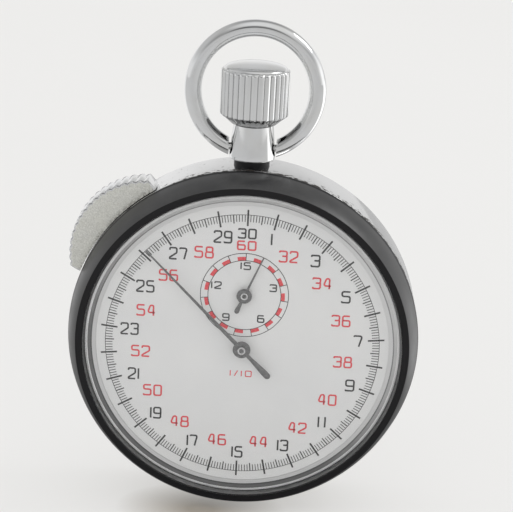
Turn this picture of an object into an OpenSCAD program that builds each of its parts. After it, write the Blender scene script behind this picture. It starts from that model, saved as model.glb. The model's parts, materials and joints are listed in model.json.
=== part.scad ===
// Mechanical stopwatch with a sweep seconds hand and a 15-minute counter.
// Upright frame: the dial faces -Y, the crown points to +Z, the origin is the
// centre of the case back's flat outer face.
// Each piece is drawn on the bench: x to the right, y towards the crown,
// z from the case back towards the crystal. stand_up() turns it upright.

/* [Case] */
// Outer diameter of the bezel and the case band
case_d = 52; // [52:0.1:53]
// Height of the dial's printed face above the case back
dial_z = 11.6; // [11.6:0.1:12]
// Height of the crystal's top above the case back
crystal_top = 16; // [15.9:0.1:17]
// Height of the stem axis above the case back
stem_z = 5.4; // [5.38:0.01:5.42]

/* [Crown and bow] */
// Diameter over the crown's flutes
crown_d = 9.96; // [9.2:0.02:10.4]
// Number of flutes around the crown
crown_flutes = 32; // [24:1:40]
// Distance the crown can be pushed in
crown_travel = 1.2; // [0.8:0.1:1.2]
// Outer diameter of the bow ring
bow_d = 20.4; // [19.8:0.1:23]
// Thickness of the bow's wire
bow_wire = 2.44; // [1.8:0.02:2.5]
// Angle the bow leans towards the case back
bow_lean = 2; // [0:0.5:80]

/* [Thumb slide] */
// Radius of the slide's coin edge
slide_r = 11.5; // [10.5:0.1:12]
// How far the slide stands out of the case band
slide_reach = 4.5; // [3.6:0.1:4.6]
// Thickness of the slide
slide_t = 4; // [3:0.1:4.2]
// Direction of the slide, anticlockwise from 3 o'clock
slide_at = 140.5; // [138:0.5:142]

/* [Hands] */
// Time shown, in seconds since the last reset
elapsed_s = 56.25; // [0:0.05:900]
// Length of the seconds hand
seconds_len = 20.35; // [18:0.05:20.6]
// Length of the minute hand
minute_len = 6.5; // [5:0.1:6.8]
// Distance from the case axis to the minute counter's axis
counter_y = 8.05; // [8:0.01:8.1]

/* [Movement] */
// Module of the barrel and the second pinion
barrel_module = 0.2; // [0.2:0.01:0.2]
// Module of the second and third wheels
train_module = 0.18; // [0.18:0.01:0.18]
// Module of the sweep wheel and the escape pinion
fine_module = 0.14; // [0.14:0.01:0.14]
// Module of the winding wheels
winding_module = 0.3; // [0.3:0.01:0.3]

/* [Hidden] */
// clearances
fit = 0.02;       // still joints
run = 0.03;       // turning joints
tiny = 0.01;

// case
case_r = case_d / 2;
bore_r = case_r - 3.4;
back_t = 1.1;
back_r = case_r - 1.4;
band_bottom = 0.3;
band_top = 9;
spigot_r = case_r - 1.5;
spigot_top = dial_z;
ledge_r = bore_r - 1;
ledge_top = 8.45;
bezel_top = dial_z + 1.6;
lip_r = case_r - 2.6;
lip_outer_r = case_r - 1.5;
crystal_r = lip_r - fit;
crystal_wall = 0.55;
dome_edge = bezel_top + 0.4;

// neck, pendant, crown, measured along y from the case axis
neck_r = 2.6;
neck_y0 = case_r - 4;
pendant_y0 = case_r + 1.05;
pendant_y1 = pendant_y0 + 5.1;
pendant_bore = 2.05;
pendant_r = 3.35;
stem_r = 0.9;
sleeve_r = 1.25;
crown_y0 = pendant_y1 + 0.1;
crown_y1 = crown_y0 + 7.95;
crown_top = crown_y1 + 0.95;
crown_r = crown_d / 2;
crown_bore = 3.2;
crown_bore_y = pendant_y1 + 1.5;
flange_y0 = 20.55;

// bow
wire_r = bow_wire / 2;
ring_r = bow_d / 2 - wire_r;
bow_pivot_y = pendant_y0 + 1.6;
bow_gap = pendant_r + 0.1;
bow_pin_r = 0.55;

// slide
slide_z0 = 4.5;
slide_off = case_r + slide_reach - slide_r;
slide_clear = 0.12;
slide_swing = 8;
tongue_half = 5;
tongue_z0 = 5.4;
tongue_t = 1.6;

// plates
plate_z0 = 7.2;
plate_z1 = 9;
plate_r = bore_r - 1.2;
bridge_z0 = 3.2;
bridge_z1 = 4.6;
bridge_r = plate_r - 0.4;
post_r = 1.2;

// train layout: teeth and axes
pinion_n = 10;
barrel_n = 70;
train_n = 60;
sweep_n = 80;
escape_pinion_n = 8;
sweep_at = [0, 0];
barrel_at = [-9.6, 8.55];
barrel_gap = barrel_module * (barrel_n + pinion_n) / 2;
train_gap = train_module * (train_n + pinion_n) / 2;
escape_gap = fine_module * (sweep_n + escape_pinion_n) / 2;
second_at = barrel_at + polar(barrel_gap, -75);
third_at = meet(second_at, train_gap, sweep_at, train_gap, 1);
escape_at = polar(escape_gap, -30);
fork_at = escape_at + polar(3.3, -62);
balance_at = fork_at + polar(4.3, -62);
balance_r = 5.6;
escape_r = 2.6;

// minute counter works under the dial
intermediate_n = 60;
counter_pinion_n = 8;
counter_n = 40;
intermediate_gap = 4.9;
intermediate_module = 2 * intermediate_gap / (intermediate_n + pinion_n);
counter_gap = 5.04;
counter_module = 2 * counter_gap / (counter_n + counter_pinion_n);
counter_at = [0, counter_y];
intermediate_at = meet(sweep_at, intermediate_gap, counter_at, counter_gap, -1);

// winding works
ratchet_n = 44;
crown_wheel_n = 28;
winding_n = 16;
crown_wheel_at = [0, 13.5];
crown_wheel_r = winding_module * crown_wheel_n / 2;
ratchet_r = winding_module * ratchet_n / 2;
winding_r = winding_module * winding_n / 2;
click_at = [-9.3, 17.2];
click_tip = barrel_at + polar(ratchet_r + 0.36, 117.5);

// stopwatch levers
column_at = [11.5, 9.5];
column_r = 2.9;
lever_at = [13.6, 13.6];
stop_at = [-17.6, -6.8];
hammer_at = [5, -13];
hammer_pin_at = [8.3, 8];
heart_tip = 1.9;
heart_dip = 0.75;
heart_z = 10.15;

// hands
seconds_turn = -elapsed_s / 30 * 360;
minute_turn = -elapsed_s / 900 * 360;
minute_hand_z = dial_z + 0.75;
seconds_hand_z = dial_z + 1.4;

// pillars and screws
barrel_posts = [[-16.9, 3.1], [4.6, 10.6], [-4.4, 17]];
train_posts = [[-13.6, -4.4], [-2.5, -15.5], [9.6, 0.4]];
cock_post = [16, -11.5];
pallet_post = [10.3, -2.9];
case_screw_angles = [25, 215];
case_screw_at = plate_r - 0.4;
dial_foot_angles = [160, -20];
dial_foot_at = 18.4;

// colours
chrome = [0.82, 0.83, 0.84];
black = [0.09, 0.09, 0.10];
steel = [0.62, 0.64, 0.66];
blued = [0.25, 0.26, 0.28];
brass = [0.80, 0.65, 0.33];
nickel = [0.76, 0.75, 0.71];
ruby = [0.75, 0.08, 0.18];

$fn = 96;

// ---------- geometry helpers ----------

// Point at radius r and angle a from the origin
function polar(r, a) = [r * cos(a), r * sin(a)];

// Direction from point a to point b
function heading(a, b) = atan2(b.y - a.y, b.x - a.x);

// Point at distance ra from a and rb from b, on the chosen side of the line a-b
function meet(a, ra, b, rb, side) =
    let (d = norm(b - a),
         u = (b - a) / d,
         m = (d * d + ra * ra - rb * rb) / (2 * d),
         h = sqrt(ra * ra - m * m))
    a + m * u + side * h * [u.y, -u.x];

// Points along an arc about a centre
function arc(c, r, a0, a1, n = 12) = [for (i = [0:n]) c + polar(r, a0 + (a1 - a0) * i / n)];

// Points along a quadratic curve from a to b, drawn towards the control point k
function curve(a, k, b, n = 6) =
    [for (i = [0:n]) let (t = i / n) (1 - t) * (1 - t) * a + 2 * t * (1 - t) * k + t * t * b];

// Outline of a spur wheel: each tooth narrows from a wide foot to a small flat tip
function gear_points(n, m, phase) =
    [for (i = [0:n - 1]) for (k = [[-0.22, -1.15], [-0.09, 0.8], [0.09, 0.8], [0.22, -1.15]])
        polar(m * n / 2 + k.y * m, phase + (i + k.x) * 360 / n)];

// Turn of wheel b that meshes it with wheel a
function mesh_phase(a, na, pa, b, nb) =
    let (th = heading(a, b), u = (th - pa) * na / 360)
    th + 180 - (0.5 - u) * 360 / nb;

// Outline of a ratchet wheel with saw teeth
function ratchet_points(n, r, depth) =
    [for (i = [0:n - 1]) for (k = [[0, 0], [0.12, 0], [0.95, depth]])
        polar(r - k.y, (i + k.x) * 360 / n)];

// Outline of a spiral strip from radius r0 to r1
function spiral_points(r0, r1, turns, w) =
    let (n = turns * 24)
    concat(
        [for (i = [0:n]) polar(r0 + (r1 - r0) * i / n - w / 2, i * 15)],
        [for (i = [n:-1:0]) polar(r0 + (r1 - r0) * i / n + w / 2, i * 15)]);

// Outline of a heart cam whose dip points along +x
function heart_points(low, high) =
    [for (i = [0:71]) let (a = i * 5, t = a <= 180 ? a / 180 : (360 - a) / 180)
        polar(low + (high - low) * pow(t, 0.9), a)];

// Bench piece turned upright
module stand_up() {
    rotate([90, 0, 0]) children();
}

// Piece moved to a point of the plate, starting at height z
module at(p, z) {
    translate([p.x, p.y, z]) children();
}

// Disc with an optional hole
module disc(r, h, hole = 0) {
    difference() {
        cylinder(r = r, h = h);
        if (hole > 0) {
            translate([0, 0, -1]) cylinder(r = hole, h = h + 2);
        }
    }
}

// Part of a flat ring between two angles less than 180 degrees apart
module ring_sector(r0, r1, a0, a1, z, h) {
    intersection() {
        at([0, 0], z) disc(r1, h, r0);
        at([0, 0], z - 1) linear_extrude(height = h + 2) polygon([
            [0, 0], polar(2 * r1, a0), polar(3 * r1, (a0 + a1) / 2), polar(2 * r1, a1)]);
    }
}

// Flat shape: two round ends joined by straight sides that touch both
module link(a, ra, b, rb) {
    along = heading(a, b);
    touch = acos((ra - rb) / norm(b - a));
    polygon(concat(
        arc(a, ra, along + touch, along + 360 - touch, 20),
        arc(b, rb, along - touch, along + touch, 10)));
}

// Flat spoked wheel with teeth
module wheel(n, m, phase, t, hole, spokes) {
    root = m * n / 2 - 1.15 * m;
    rim = root - 0.55;
    hub = hole + 0.75;
    half = 180 / spokes - 9;
    linear_extrude(height = t) difference() {
        polygon(gear_points(n, m, phase));
        circle(r = hole);
        for (i = [0:spokes - 1]) {
            mid = (i + 0.5) * 360 / spokes;
            polygon(concat(
                arc([0, 0], rim, mid - half, mid + half),
                arc([0, 0], hub, mid + half * 0.55, mid - half * 0.55, 4)));
        }
    }
}

// Toothed part of a pinion
module leaves(n, m, phase, h) {
    linear_extrude(height = h) polygon(gear_points(n, m, phase));
}

// Slotted screw head with its shank, head towards the case back
module screw(head_r, head_h, shank_r, shank_h) {
    difference() {
        cylinder(r = head_r, h = head_h);
        translate([-head_r - 1, -head_r * 0.14, -1]) cube([2 * head_r + 2, head_r * 0.28, 1 + head_h * 0.45]);
    }
    translate([0, 0, head_h]) cylinder(r = shank_r, h = shank_h);
}

// Solid turned about the stem axis from [radius, y] points
module turned_on_stem(points) {
    translate([0, 0, stem_z]) rotate([-90, 0, 0]) rotate_extrude() polygon(points);
}

// Cylinder along the stem axis
module stem_bar(r, y0, y1) {
    translate([0, y0, stem_z]) rotate([-90, 0, 0]) cylinder(r = r, h = y1 - y0);
}

// ---------- case ----------

// Chrome band: rounded towards the back, a spigot for the bezel in front
module case_middle() {
    edge = 1.1;
    color(chrome) stand_up() difference() {
        rotate_extrude($fn = 180) polygon(concat(
            [[back_r + fit, band_bottom]],
            arc([case_r - edge, band_bottom + edge], edge, -90, 0, 8),
            [[case_r, band_top - 0.3], [case_r - 0.25, band_top],
             [spigot_r, band_top], [spigot_r, spigot_top], [bore_r, spigot_top],
             [bore_r, ledge_top], [ledge_r, ledge_top], [ledge_r, ledge_top - 0.55],
             [bore_r, ledge_top - 0.55], [bore_r, back_t + 0.05],
             [back_r + fit, back_t + 0.05]]));
        stem_bar(neck_r + fit, bore_r - 1.5, case_r + 1);
        slide_slot();
    }
}

// Slot in the band that the slide's tongue moves along
module slide_slot() {
    a0 = slide_at - tongue_half - 0.4;
    a1 = slide_at + tongue_half + slide_swing + 0.4;
    ring_sector(bore_r - 0.5, case_r + 0.5, a0, a1, tongue_z0 - 0.05, tongue_t + 0.1);
}

// Pressed-on back with an inner lip
module case_back() {
    color(chrome) stand_up() rotate_extrude($fn = 180) polygon([
        [0, 0], [back_r - 1.1, 0], [back_r - 0.35, 0.12], [back_r, 0.45], [back_r, back_t],
        [bore_r - 0.3, back_t], [bore_r - 0.3, back_t + 1.2], [bore_r - 1, back_t + 1.2],
        [bore_r - 1, back_t], [bore_r - 1.3, back_t - 0.3], [0, back_t - 0.3]]);
}

// Flat ring that seals the back
module back_gasket() {
    color(black) stand_up() at([0, 0], back_t + 0.15)
        disc(bore_r - fit, 0.4, bore_r - 0.3 + fit);
}

// Black bezel: a steep convex side and a narrow front face around the crystal
module bezel() {
    skirt = spigot_r + fit;
    color(black) stand_up() rotate_extrude($fn = 180) polygon(concat(
        [[skirt, band_top + 0.02], [case_r - 0.1, band_top + 0.02]],
        curve([case_r, band_top + 0.12], [case_r - 0.35, bezel_top - 1.6], [lip_outer_r, bezel_top], 8),
        [[lip_outer_r - 0.12, bezel_top + 0.02], [lip_outer_r - 0.28, bezel_top - 0.12],
         [lip_r + 0.1, bezel_top - 0.12], [lip_r, bezel_top - 0.2],
         [lip_r, spigot_top + tiny], [skirt, spigot_top + tiny]]));
}

// Clear dome on a short wall
module crystal() {
    inner = crystal_r - crystal_wall;
    inner_top = crystal_top - 1;
    color([0.9, 0.95, 1, 0.3]) stand_up() rotate_extrude($fn = 180) polygon(concat(
        [[inner, spigot_top + 0.1], [crystal_r, spigot_top + 0.1], [crystal_r, dome_edge]],
        [for (i = [1:12]) let (r = crystal_r * (1 - i / 12))
            [r, dome_edge + (crystal_top - dome_edge) * (1 - pow(r / crystal_r, 2))]],
        [for (i = [0:12]) let (r = inner * i / 12)
            [r, inner_top - (inner_top - dome_edge + 0.25) * pow(r / inner, 2)]]));
}

// Polished cone between the dial's edge and the crystal
module reflector_ring() {
    outer = crystal_r - crystal_wall - fit;
    color(chrome) stand_up() rotate_extrude($fn = 180) polygon([
        [bore_r - 0.9, dial_z + 0.05], [outer, dial_z + 0.12], [outer, bezel_top - 0.15],
        [outer - 0.2, bezel_top - 0.15], [bore_r - 0.9, dial_z + 0.25]]);
}

// Black neck and flared chrome pendant tube in one piece
module pendant() {
    color(chrome) stand_up() difference() {
        turned_on_stem(concat(
            [[1.3, neck_y0], [neck_r, neck_y0], [neck_r, pendant_y0]],
            curve([neck_r + 0.35, pendant_y0], [pendant_r - 0.05, pendant_y0 + 0.02],
                [pendant_r, pendant_y0 + 0.4], 6),
            curve([pendant_r, pendant_y0 + 1.2], [pendant_r - 0.1, pendant_y0 + 3],
                [2.87, pendant_y1 - 0.12], 6),
            [[2.75, pendant_y1], [pendant_bore, pendant_y1],
             [pendant_bore, neck_y0 + 1], [1.3, neck_y0 + 1]]));
        for (s = [-1, 1]) {
            translate([s * (pendant_bore - 0.5), bow_pivot_y, stem_z])
                rotate([0, s * 90, 0]) cylinder(r = bow_pin_r + run, h = 3);
        }
    }
}

// Round-wire ring, open at the bottom, with a pin at each end
module bow() {
    centre_up = sqrt(ring_r * ring_r - bow_gap * bow_gap);
    foot = atan2(centre_up, bow_gap);
    color(chrome) stand_up() translate([0, bow_pivot_y, stem_z]) rotate([-bow_lean, 0, 0]) {
        difference() {
            translate([0, centre_up, 0]) rotate([0, 0, -foot - 8])
                rotate_extrude(angle = 180 + 2 * foot + 16, $fn = 120)
                    translate([ring_r, 0]) circle(r = wire_r, $fn = 48);
            translate([-bow_gap, -4, -3]) cube([2 * bow_gap, 8, 6]);
        }
        for (s = [-1, 1]) {
            translate([s * (bow_gap + 0.6), 0, 0]) rotate([0, -s * 90, 0])
                cylinder(r = bow_pin_r, h = 1.7);
        }
    }
}

// ---------- crown ----------

// One flute: a round groove along the crown's side
module crown_groove(i) {
    a = i * 360 / crown_flutes;
    groove = PI * crown_r / crown_flutes * 0.62;
    translate([0, 0, stem_z]) rotate([-90, 0, 0]) rotate([0, 0, a])
        translate([crown_r + groove * 0.45, 0, crown_y0 - 1])
            cylinder(r = groove, h = crown_y1 - crown_y0 + 1.05, $fn = 24);
}

// Fluted cap with a low dome and a hollow skirt
module crown() {
    rim = 0.35;
    color(chrome) stand_up() difference() {
        turned_on_stem(concat(
            [[stem_r + tiny, crown_bore_y], [crown_bore, crown_bore_y], [crown_bore, crown_y0],
             [crown_bore + 0.12, crown_y0], [crown_r, crown_y0 + 1.1], [crown_r, crown_y1 - rim]],
            curve([crown_r - 0.05, crown_y1 - 0.15], [crown_r - rim * 0.4, crown_y1 + 0.05],
                [crown_r - rim - 0.1, crown_y1 + 0.12], 4),
            [for (i = [1:8]) let (r = (crown_r - rim - 0.1) * (1 - i / 8),
                                  k = crown_r - rim - 0.1)
                [r, crown_y1 + 0.12 + (crown_top - crown_y1 - 0.12) * (1 - pow(r / k, 2))]],
            [[0, crown_top - 2], [stem_r + tiny, crown_top - 2]]));
        for (i = [0:crown_flutes - 1]) {
            crown_groove(i);
        }
    }
}

// Stem: crown end, body, square for the winding pinion, inner pivot
module winding_stem() {
    square_w = 1.1;
    square_y0 = 16.4 + crown_travel + 0.05;
    square_y1 = 18.3 + crown_travel + 0.05;
    color(steel) stand_up() {
        stem_bar(stem_r, square_y1, crown_top - 2 - tiny);
        translate([-square_w / 2, square_y0, stem_z - square_w / 2])
            cube([square_w, square_y1 - square_y0, square_w]);
        stem_bar(0.5, 14.6, square_y0);
    }
}

// Sleeve pushed by the crown; its flange works the operating lever
module pusher_sleeve() {
    collar_y = pendant_y1 + 0.1;
    color(steel) stand_up() turned_on_stem([
        [stem_r + run, flange_y0], [2, flange_y0], [2, flange_y0 + 0.85],
        [sleeve_r, flange_y0 + 0.85], [sleeve_r, collar_y], [pendant_bore - 0.05, collar_y],
        [pendant_bore - 0.05, collar_y + 0.8], [sleeve_r, collar_y + 1.3],
        [stem_r + run, collar_y + 1.3]]);
}

// Faces of a closed tube through rings of k points, n steps long
function tube_faces(n, k) = concat(
    [[for (j = [0:k - 1]) j]],
    [for (i = [0:n - 1]) for (j = [0:k - 1])
        [i * k + j, (i + 1) * k + j, (i + 1) * k + (j + 1) % k, i * k + (j + 1) % k]],
    [[for (j = [k - 1:-1:0]) n * k + j]]);

// Coil spring that lifts the crown, drawn at the length it has with the crown pushed in
module crown_spring() {
    turns = 9;
    per_turn = 20;
    wire = 0.18;
    sides = 8;
    steps = turns * per_turn;
    y0 = neck_y0 + 1 + wire + fit;
    y1 = pendant_y1 + 0.1 - crown_travel - wire - fit;
    mid = (sleeve_r + pendant_bore) / 2;
    points = [for (i = [0:steps]) for (j = [0:sides - 1])
        let (a = i * 360 / per_turn, b = -j * 360 / sides, r = mid + wire * cos(b))
        [r * cos(a), r * sin(a), y0 + (y1 - y0) * i / steps + wire * sin(b)]];
    color(steel) stand_up() translate([0, 0, stem_z]) rotate([-90, 0, 0])
        polyhedron(points = points, faces = tube_faces(steps, sides), convexity = 10);
}

// ---------- thumb slide ----------

// Outline of the half-moon's coin edge, closed inside the case band
function slide_points() =
    let (centre = polar(slide_off, slide_at),
         edge_half = 50,
         notches = 16,
         depth = 0.16,
         steps = notches * 6,
         end_half = 19,
         rim = [for (i = [0:steps]) centre + polar(
             slide_r - depth + depth * abs(cos(i * 30)),
             slide_at - edge_half + 2 * edge_half * i / steps)],
         foot_r = case_r - 0.4)
    concat(
        curve(polar(foot_r, slide_at - end_half), polar(case_r + 0.9, slide_at - end_half), rim[0], 5),
        rim,
        curve(rim[steps], polar(case_r + 0.9, slide_at + end_half), polar(foot_r, slide_at + end_half), 5),
        [polar(case_r - 3, slide_at)]);

// Thick half-moon with a tongue through the band
module thumb_slide() {
    inner = case_r + slide_clear;
    color(chrome) stand_up() {
        difference() {
            at([0, 0], slide_z0) linear_extrude(height = slide_t) polygon(slide_points());
            at([0, 0], slide_z0 - 1) cylinder(r = inner, h = slide_t + 2, $fn = 180);
        }
        ring_sector(bore_r - 0.75, inner + 0.5, slide_at - tongue_half, slide_at + tongue_half,
            tongue_z0, tongue_t);
    }
}

// Curved plate riveted to the tongue inside the band
module slide_retainer() {
    gap = 0.05;
    color(steel) stand_up() difference() {
        ring_sector(bore_r - 1.05, bore_r - 0.1, slide_at - 9, slide_at + 9, 5, 2.1);
        ring_sector(bore_r - 0.75 - tiny, bore_r + 1, slide_at - tongue_half - gap,
            slide_at + tongue_half + gap, tongue_z0 - tiny, tongue_t + 2 * tiny);
    }
}

// ---------- dial and hands ----------

// Dial plate with two feet and two hand holes
module dial() {
    t = 0.4;
    color([0.80, 0.81, 0.81]) stand_up() {
        difference() {
            at([0, 0], dial_z - t) cylinder(r = bore_r - 0.2, h = t, $fn = 180);
            at([0, 0], dial_z - 1) cylinder(r = 0.75, h = 2);
            at(counter_at, dial_z - 1) cylinder(r = 0.6, h = 2);
        }
        for (a = dial_foot_angles) {
            at(polar(dial_foot_at, a), plate_z0 + 0.6)
                cylinder(r = 0.45, h = dial_z - t - plate_z0 - 0.6);
        }
    }
}

// Outline of a hand pointing along +y: fine tip, wider tail with a round end
module hand_outline(tip, tail, tip_w, root_w, tail_w) {
    polygon(concat(
        [[-root_w / 2, 0], [-tail_w / 2, -tail + tail_w / 2]],
        arc([0, -tail + tail_w / 2], tail_w / 2, 180, 360, 8),
        [[tail_w / 2, -tail + tail_w / 2], [root_w / 2, 0], [tip_w / 2, tip], [-tip_w / 2, tip]]));
}

// Sweep seconds hand with its raised hub
module seconds_hand() {
    color(blued) stand_up() rotate([0, 0, seconds_turn]) difference() {
        union() {
            at([0, 0], seconds_hand_z) linear_extrude(height = 0.14)
                hand_outline(seconds_len, 6, 0.16, 0.75, 0.95);
            at([0, 0], seconds_hand_z - 0.05) cylinder(r = 1.2, h = 0.3);
            at([0, 0], seconds_hand_z + 0.25) cylinder(r = 0.6, h = 0.15);
        }
        at([0, 0], seconds_hand_z - 1) cylinder(r = 0.4 + tiny, h = 3);
    }
}

// Minute hand of the small counter
module minute_hand() {
    color(blued) stand_up() at(counter_at, 0) rotate([0, 0, minute_turn]) difference() {
        union() {
            at([0, 0], minute_hand_z) linear_extrude(height = 0.12)
                hand_outline(minute_len, 2.6, 0.14, 0.45, 0.5);
            at([0, 0], minute_hand_z - 0.15) cylinder(r = 1.12, h = 0.32);
        }
        at([0, 0], minute_hand_z - 1) cylinder(r = 0.35 + tiny, h = 3);
    }
}

// ---------- plates and bridges ----------

// Mainplate: thick disc, flange on the case ledge, raised rim under the dial, two studs
module mainplate() {
    color(nickel) stand_up() difference() {
        union() {
            rotate_extrude($fn = 180) polygon([
                [0, plate_z0], [plate_r, plate_z0], [plate_r, ledge_top + tiny],
                [bore_r - fit, ledge_top + tiny], [bore_r - fit, dial_z - 0.42],
                [bore_r - 1.5, dial_z - 0.42], [bore_r - 1.5, plate_z1], [0, plate_z1]]);
            translate([-1.8, 15.05, bridge_z1 + 0.1]) cube([3.6, 1.35, plate_z0 - bridge_z1]);
            at(intermediate_at, plate_z1 - 0.1) cylinder(r = 0.25, h = 1.1);
            at(hammer_at, plate_z1 - 0.1) cylinder(r = 0.6, h = 1.85);
        }
        plate_holes();
        translate([-2.9, 16.9, plate_z0 - 1]) cube([5.8, 5.8, 2]);
        stem_bar(0.5 + run, 14, 17);
        hammer_slot();
    }
}

// Every round hole and pocket of the mainplate
module plate_holes() {
    through = 6;
    at(sweep_at, plate_z0 - 1) cylinder(r = 0.4 + run, h = through);
    for (p = [second_at, third_at, escape_at]) {
        at(p, plate_z0 - 1) cylinder(r = 0.2 + run, h = 1.8);
    }
    at(barrel_at, plate_z0 - 1) cylinder(r = 0.8 + run, h = 1.9);
    at(balance_at, plate_z0 - 1) cylinder(r = 0.7, h = through);
    at(fork_at, plate_z0 - 1) cylinder(r = 0.12 + run, h = 1.6);
    at(counter_at, plate_z1 - 1.1) cylinder(r = 0.2 + run, h = 2);
    for (p = [column_at, lever_at, stop_at]) {
        at(p, plate_z0 - 1) cylinder(r = 0.3 + fit, h = 2);
    }
    for (p = concat(barrel_posts, train_posts, [cock_post, pallet_post])) {
        at(p, plate_z0 - 1) cylinder(r = 0.4 + fit, h = 2.2);
    }
    for (a = case_screw_angles) {
        at(polar(case_screw_at, a), plate_z0 - 1) cylinder(r = 1.15, h = 1.7);
        at(polar(case_screw_at, a), plate_z0 - 1) cylinder(r = 0.45 + fit, h = 2.6);
    }
    for (a = dial_foot_angles) {
        at(polar(dial_foot_at, a), plate_z0 + 0.5) cylinder(r = 0.45 + fit, h = 4);
    }
}

// Curved clearance in the plate for the hammer's pin
module hammer_slot() {
    translate([0, 0, plate_z0 - 1]) linear_extrude(height = 4)
        link(hammer_pin_at, 0.6, hammer_pin_at + [-1.5, 0.25], 0.6);
}

// Pillar between a bridge and the plate, drilled for its screw
module pillar(p, z0) {
    at(p, z0) disc(post_r, plate_z0 - z0 - tiny, 0.4 + fit);
}

// Bridge over the barrel and the winding wheels
module barrel_bridge() {
    t = bridge_z1 - bridge_z0;
    color(nickel) stand_up() {
        at([0, 0], bridge_z0) linear_extrude(height = t) difference() {
            intersection() {
                circle(r = bridge_r, $fn = 180);
                polygon([[-22, 1.7], [-15, 1.7], [-14, 2.7], [6.2, 2.7], [6.2, 22], [-22, 22]]);
            }
            translate([-2.9, 16.3]) square([5.8, 6.6]);
            translate(barrel_at) circle(r = 0.8 + run);
            translate(crown_wheel_at) circle(r = 0.5 + tiny);
            translate(click_at) circle(r = 0.4 + tiny);
            for (p = barrel_posts) {
                translate(p) circle(r = 0.4 + fit);
            }
        }
        for (p = barrel_posts) {
            pillar(p, bridge_z1);
        }
    }
}

// Bridge over the going train, cut clear of the balance
module train_bridge() {
    t = bridge_z1 - bridge_z0;
    color(nickel) stand_up() {
        at([0, 0], bridge_z0) linear_extrude(height = t) difference() {
            intersection() {
                circle(r = bridge_r, $fn = 180);
                polygon([[-22, 1.4], [-14.9, 1.4], [-13.9, 2.4], [11.2, 2.4], [11.2, -1.3], [2, -13.5],
                    [-0.6, -22], [-22, -22]]);
            }
            translate(balance_at) circle(r = balance_r + 0.6);
            for (p = [sweep_at, second_at, third_at, escape_at]) {
                translate(p) circle(r = 0.2 + run);
            }
            for (p = train_posts) {
                translate(p) circle(r = 0.4 + fit);
            }
        }
        for (p = train_posts) {
            pillar(p, bridge_z1);
        }
    }
}

// Cock that carries the balance's back pivot
module balance_cock() {
    z0 = 2.2;
    t = 0.9;
    color(nickel) stand_up() {
        at([0, 0], z0) linear_extrude(height = t) difference() {
            link(balance_at, 2, cock_post, 1.8);
            translate(balance_at) circle(r = 0.7);
            translate(cock_post) circle(r = 0.4 + fit);
        }
        at(cock_post, z0 + t) disc(1.5, plate_z0 - z0 - t - tiny, 0.4 + fit);
    }
}

// Small cock over the pallet fork's pivot
module pallet_cock() {
    z0 = 5.3;
    t = 0.6;
    color(nickel) stand_up() {
        at([0, 0], z0) linear_extrude(height = t) difference() {
            link(fork_at, 0.7, pallet_post, 0.9);
            translate(fork_at) circle(r = 0.12 + run);
            translate(pallet_post) circle(r = 0.4 + fit);
        }
        at(pallet_post, z0 + t) disc(0.75, plate_z0 - z0 - t - tiny, 0.4 + fit);
    }
}

// Slotted screws of the bridges and cocks
module bridge_screws() {
    head_h = 0.8;
    color(steel) stand_up() {
        for (p = concat(barrel_posts, train_posts)) {
            at(p, bridge_z0 - head_h) screw(0.85, head_h, 0.4, plate_z0 - bridge_z0 + 1);
        }
        at(cock_post, 2.2 - head_h) screw(0.85, head_h, 0.4, plate_z0 - 2.2 + 1);
        at(pallet_post, 5.3 - 0.5) screw(0.7, 0.5, 0.4, plate_z0 - 5.3 + 1);
    }
}

// Screws whose heads overlap the case ledge
module case_screws() {
    head_h = 0.6;
    color(steel) stand_up() for (a = case_screw_angles) {
        at(polar(case_screw_at, a), plate_z0 + 0.08) screw(1.05, head_h, 0.45, 0.9);
    }
}

// ---------- power ----------

barrel_phase = 0;
second_phase = mesh_phase(barrel_at, barrel_n, barrel_phase, second_at, pinion_n);
third_phase = mesh_phase(second_at, train_n, 0, third_at, pinion_n);
sweep_phase = mesh_phase(third_at, train_n, 0, sweep_at, pinion_n);
escape_phase = mesh_phase(sweep_at, sweep_n, 0, escape_at, escape_pinion_n);
intermediate_phase = mesh_phase(sweep_at, pinion_n, 0, intermediate_at, intermediate_n);
counter_phase = mesh_phase(intermediate_at, counter_pinion_n, 0, counter_at, counter_n);
crown_wheel_phase = 90 + 180 / crown_wheel_n;
ratchet_phase = mesh_phase(crown_wheel_at, crown_wheel_n, crown_wheel_phase, barrel_at, ratchet_n);

// Toothed floor and wall of the mainspring barrel
module barrel_drum() {
    wall = 6.5;
    color(brass) stand_up() at(barrel_at, 0) {
        difference() {
            union() {
                at([0, 0], 6.6) linear_extrude(height = 0.35)
                    polygon(gear_points(barrel_n, barrel_module, barrel_phase));
                at([0, 0], 5.15) disc(wall, 1.45, wall - 0.3);
            }
            at([0, 0], 6) cylinder(r = 0.8 + run, h = 2);
        }
    }
}

// Lid of the barrel, inside its wall
module barrel_cover() {
    color(brass) stand_up() at(barrel_at, 5.15) disc(6.2 - tiny, 0.25, 0.8 + run);
}

// Arbor the mainspring winds on, square at the ratchet end
module barrel_arbor() {
    color(steel) stand_up() at(barrel_at, 0) {
        at([0, 0], bridge_z0 - 0.1) cylinder(r = 0.8, h = plate_z0 + 0.8 - bridge_z0 + 0.1);
        at([0, 0], 5.45) cylinder(r = 1.3, h = 1.1);
        translate([-0.55, -0.55, 2.42]) cube([1.1, 1.1, 0.8]);
    }
}

// Coiled mainspring between arbor and wall
module mainspring() {
    color(steel) stand_up() at(barrel_at, 5.45) linear_extrude(height = 1.1)
        polygon(spiral_points(1.45, 6.05, 8, 0.16));
}

// Ratchet wheel on the arbor's square
module ratchet_wheel() {
    color(steel) stand_up() at(barrel_at, 2.45) linear_extrude(height = 0.6) difference() {
        polygon(gear_points(ratchet_n, winding_module, ratchet_phase));
        translate([-0.56, -0.56]) square(1.12);
    }
}

// Screw that holds the ratchet wheel
module ratchet_screw() {
    color(steel) stand_up() at(barrel_at, 1.75) screw(1.5, 0.65, 0.25, 0.01);
}

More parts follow.
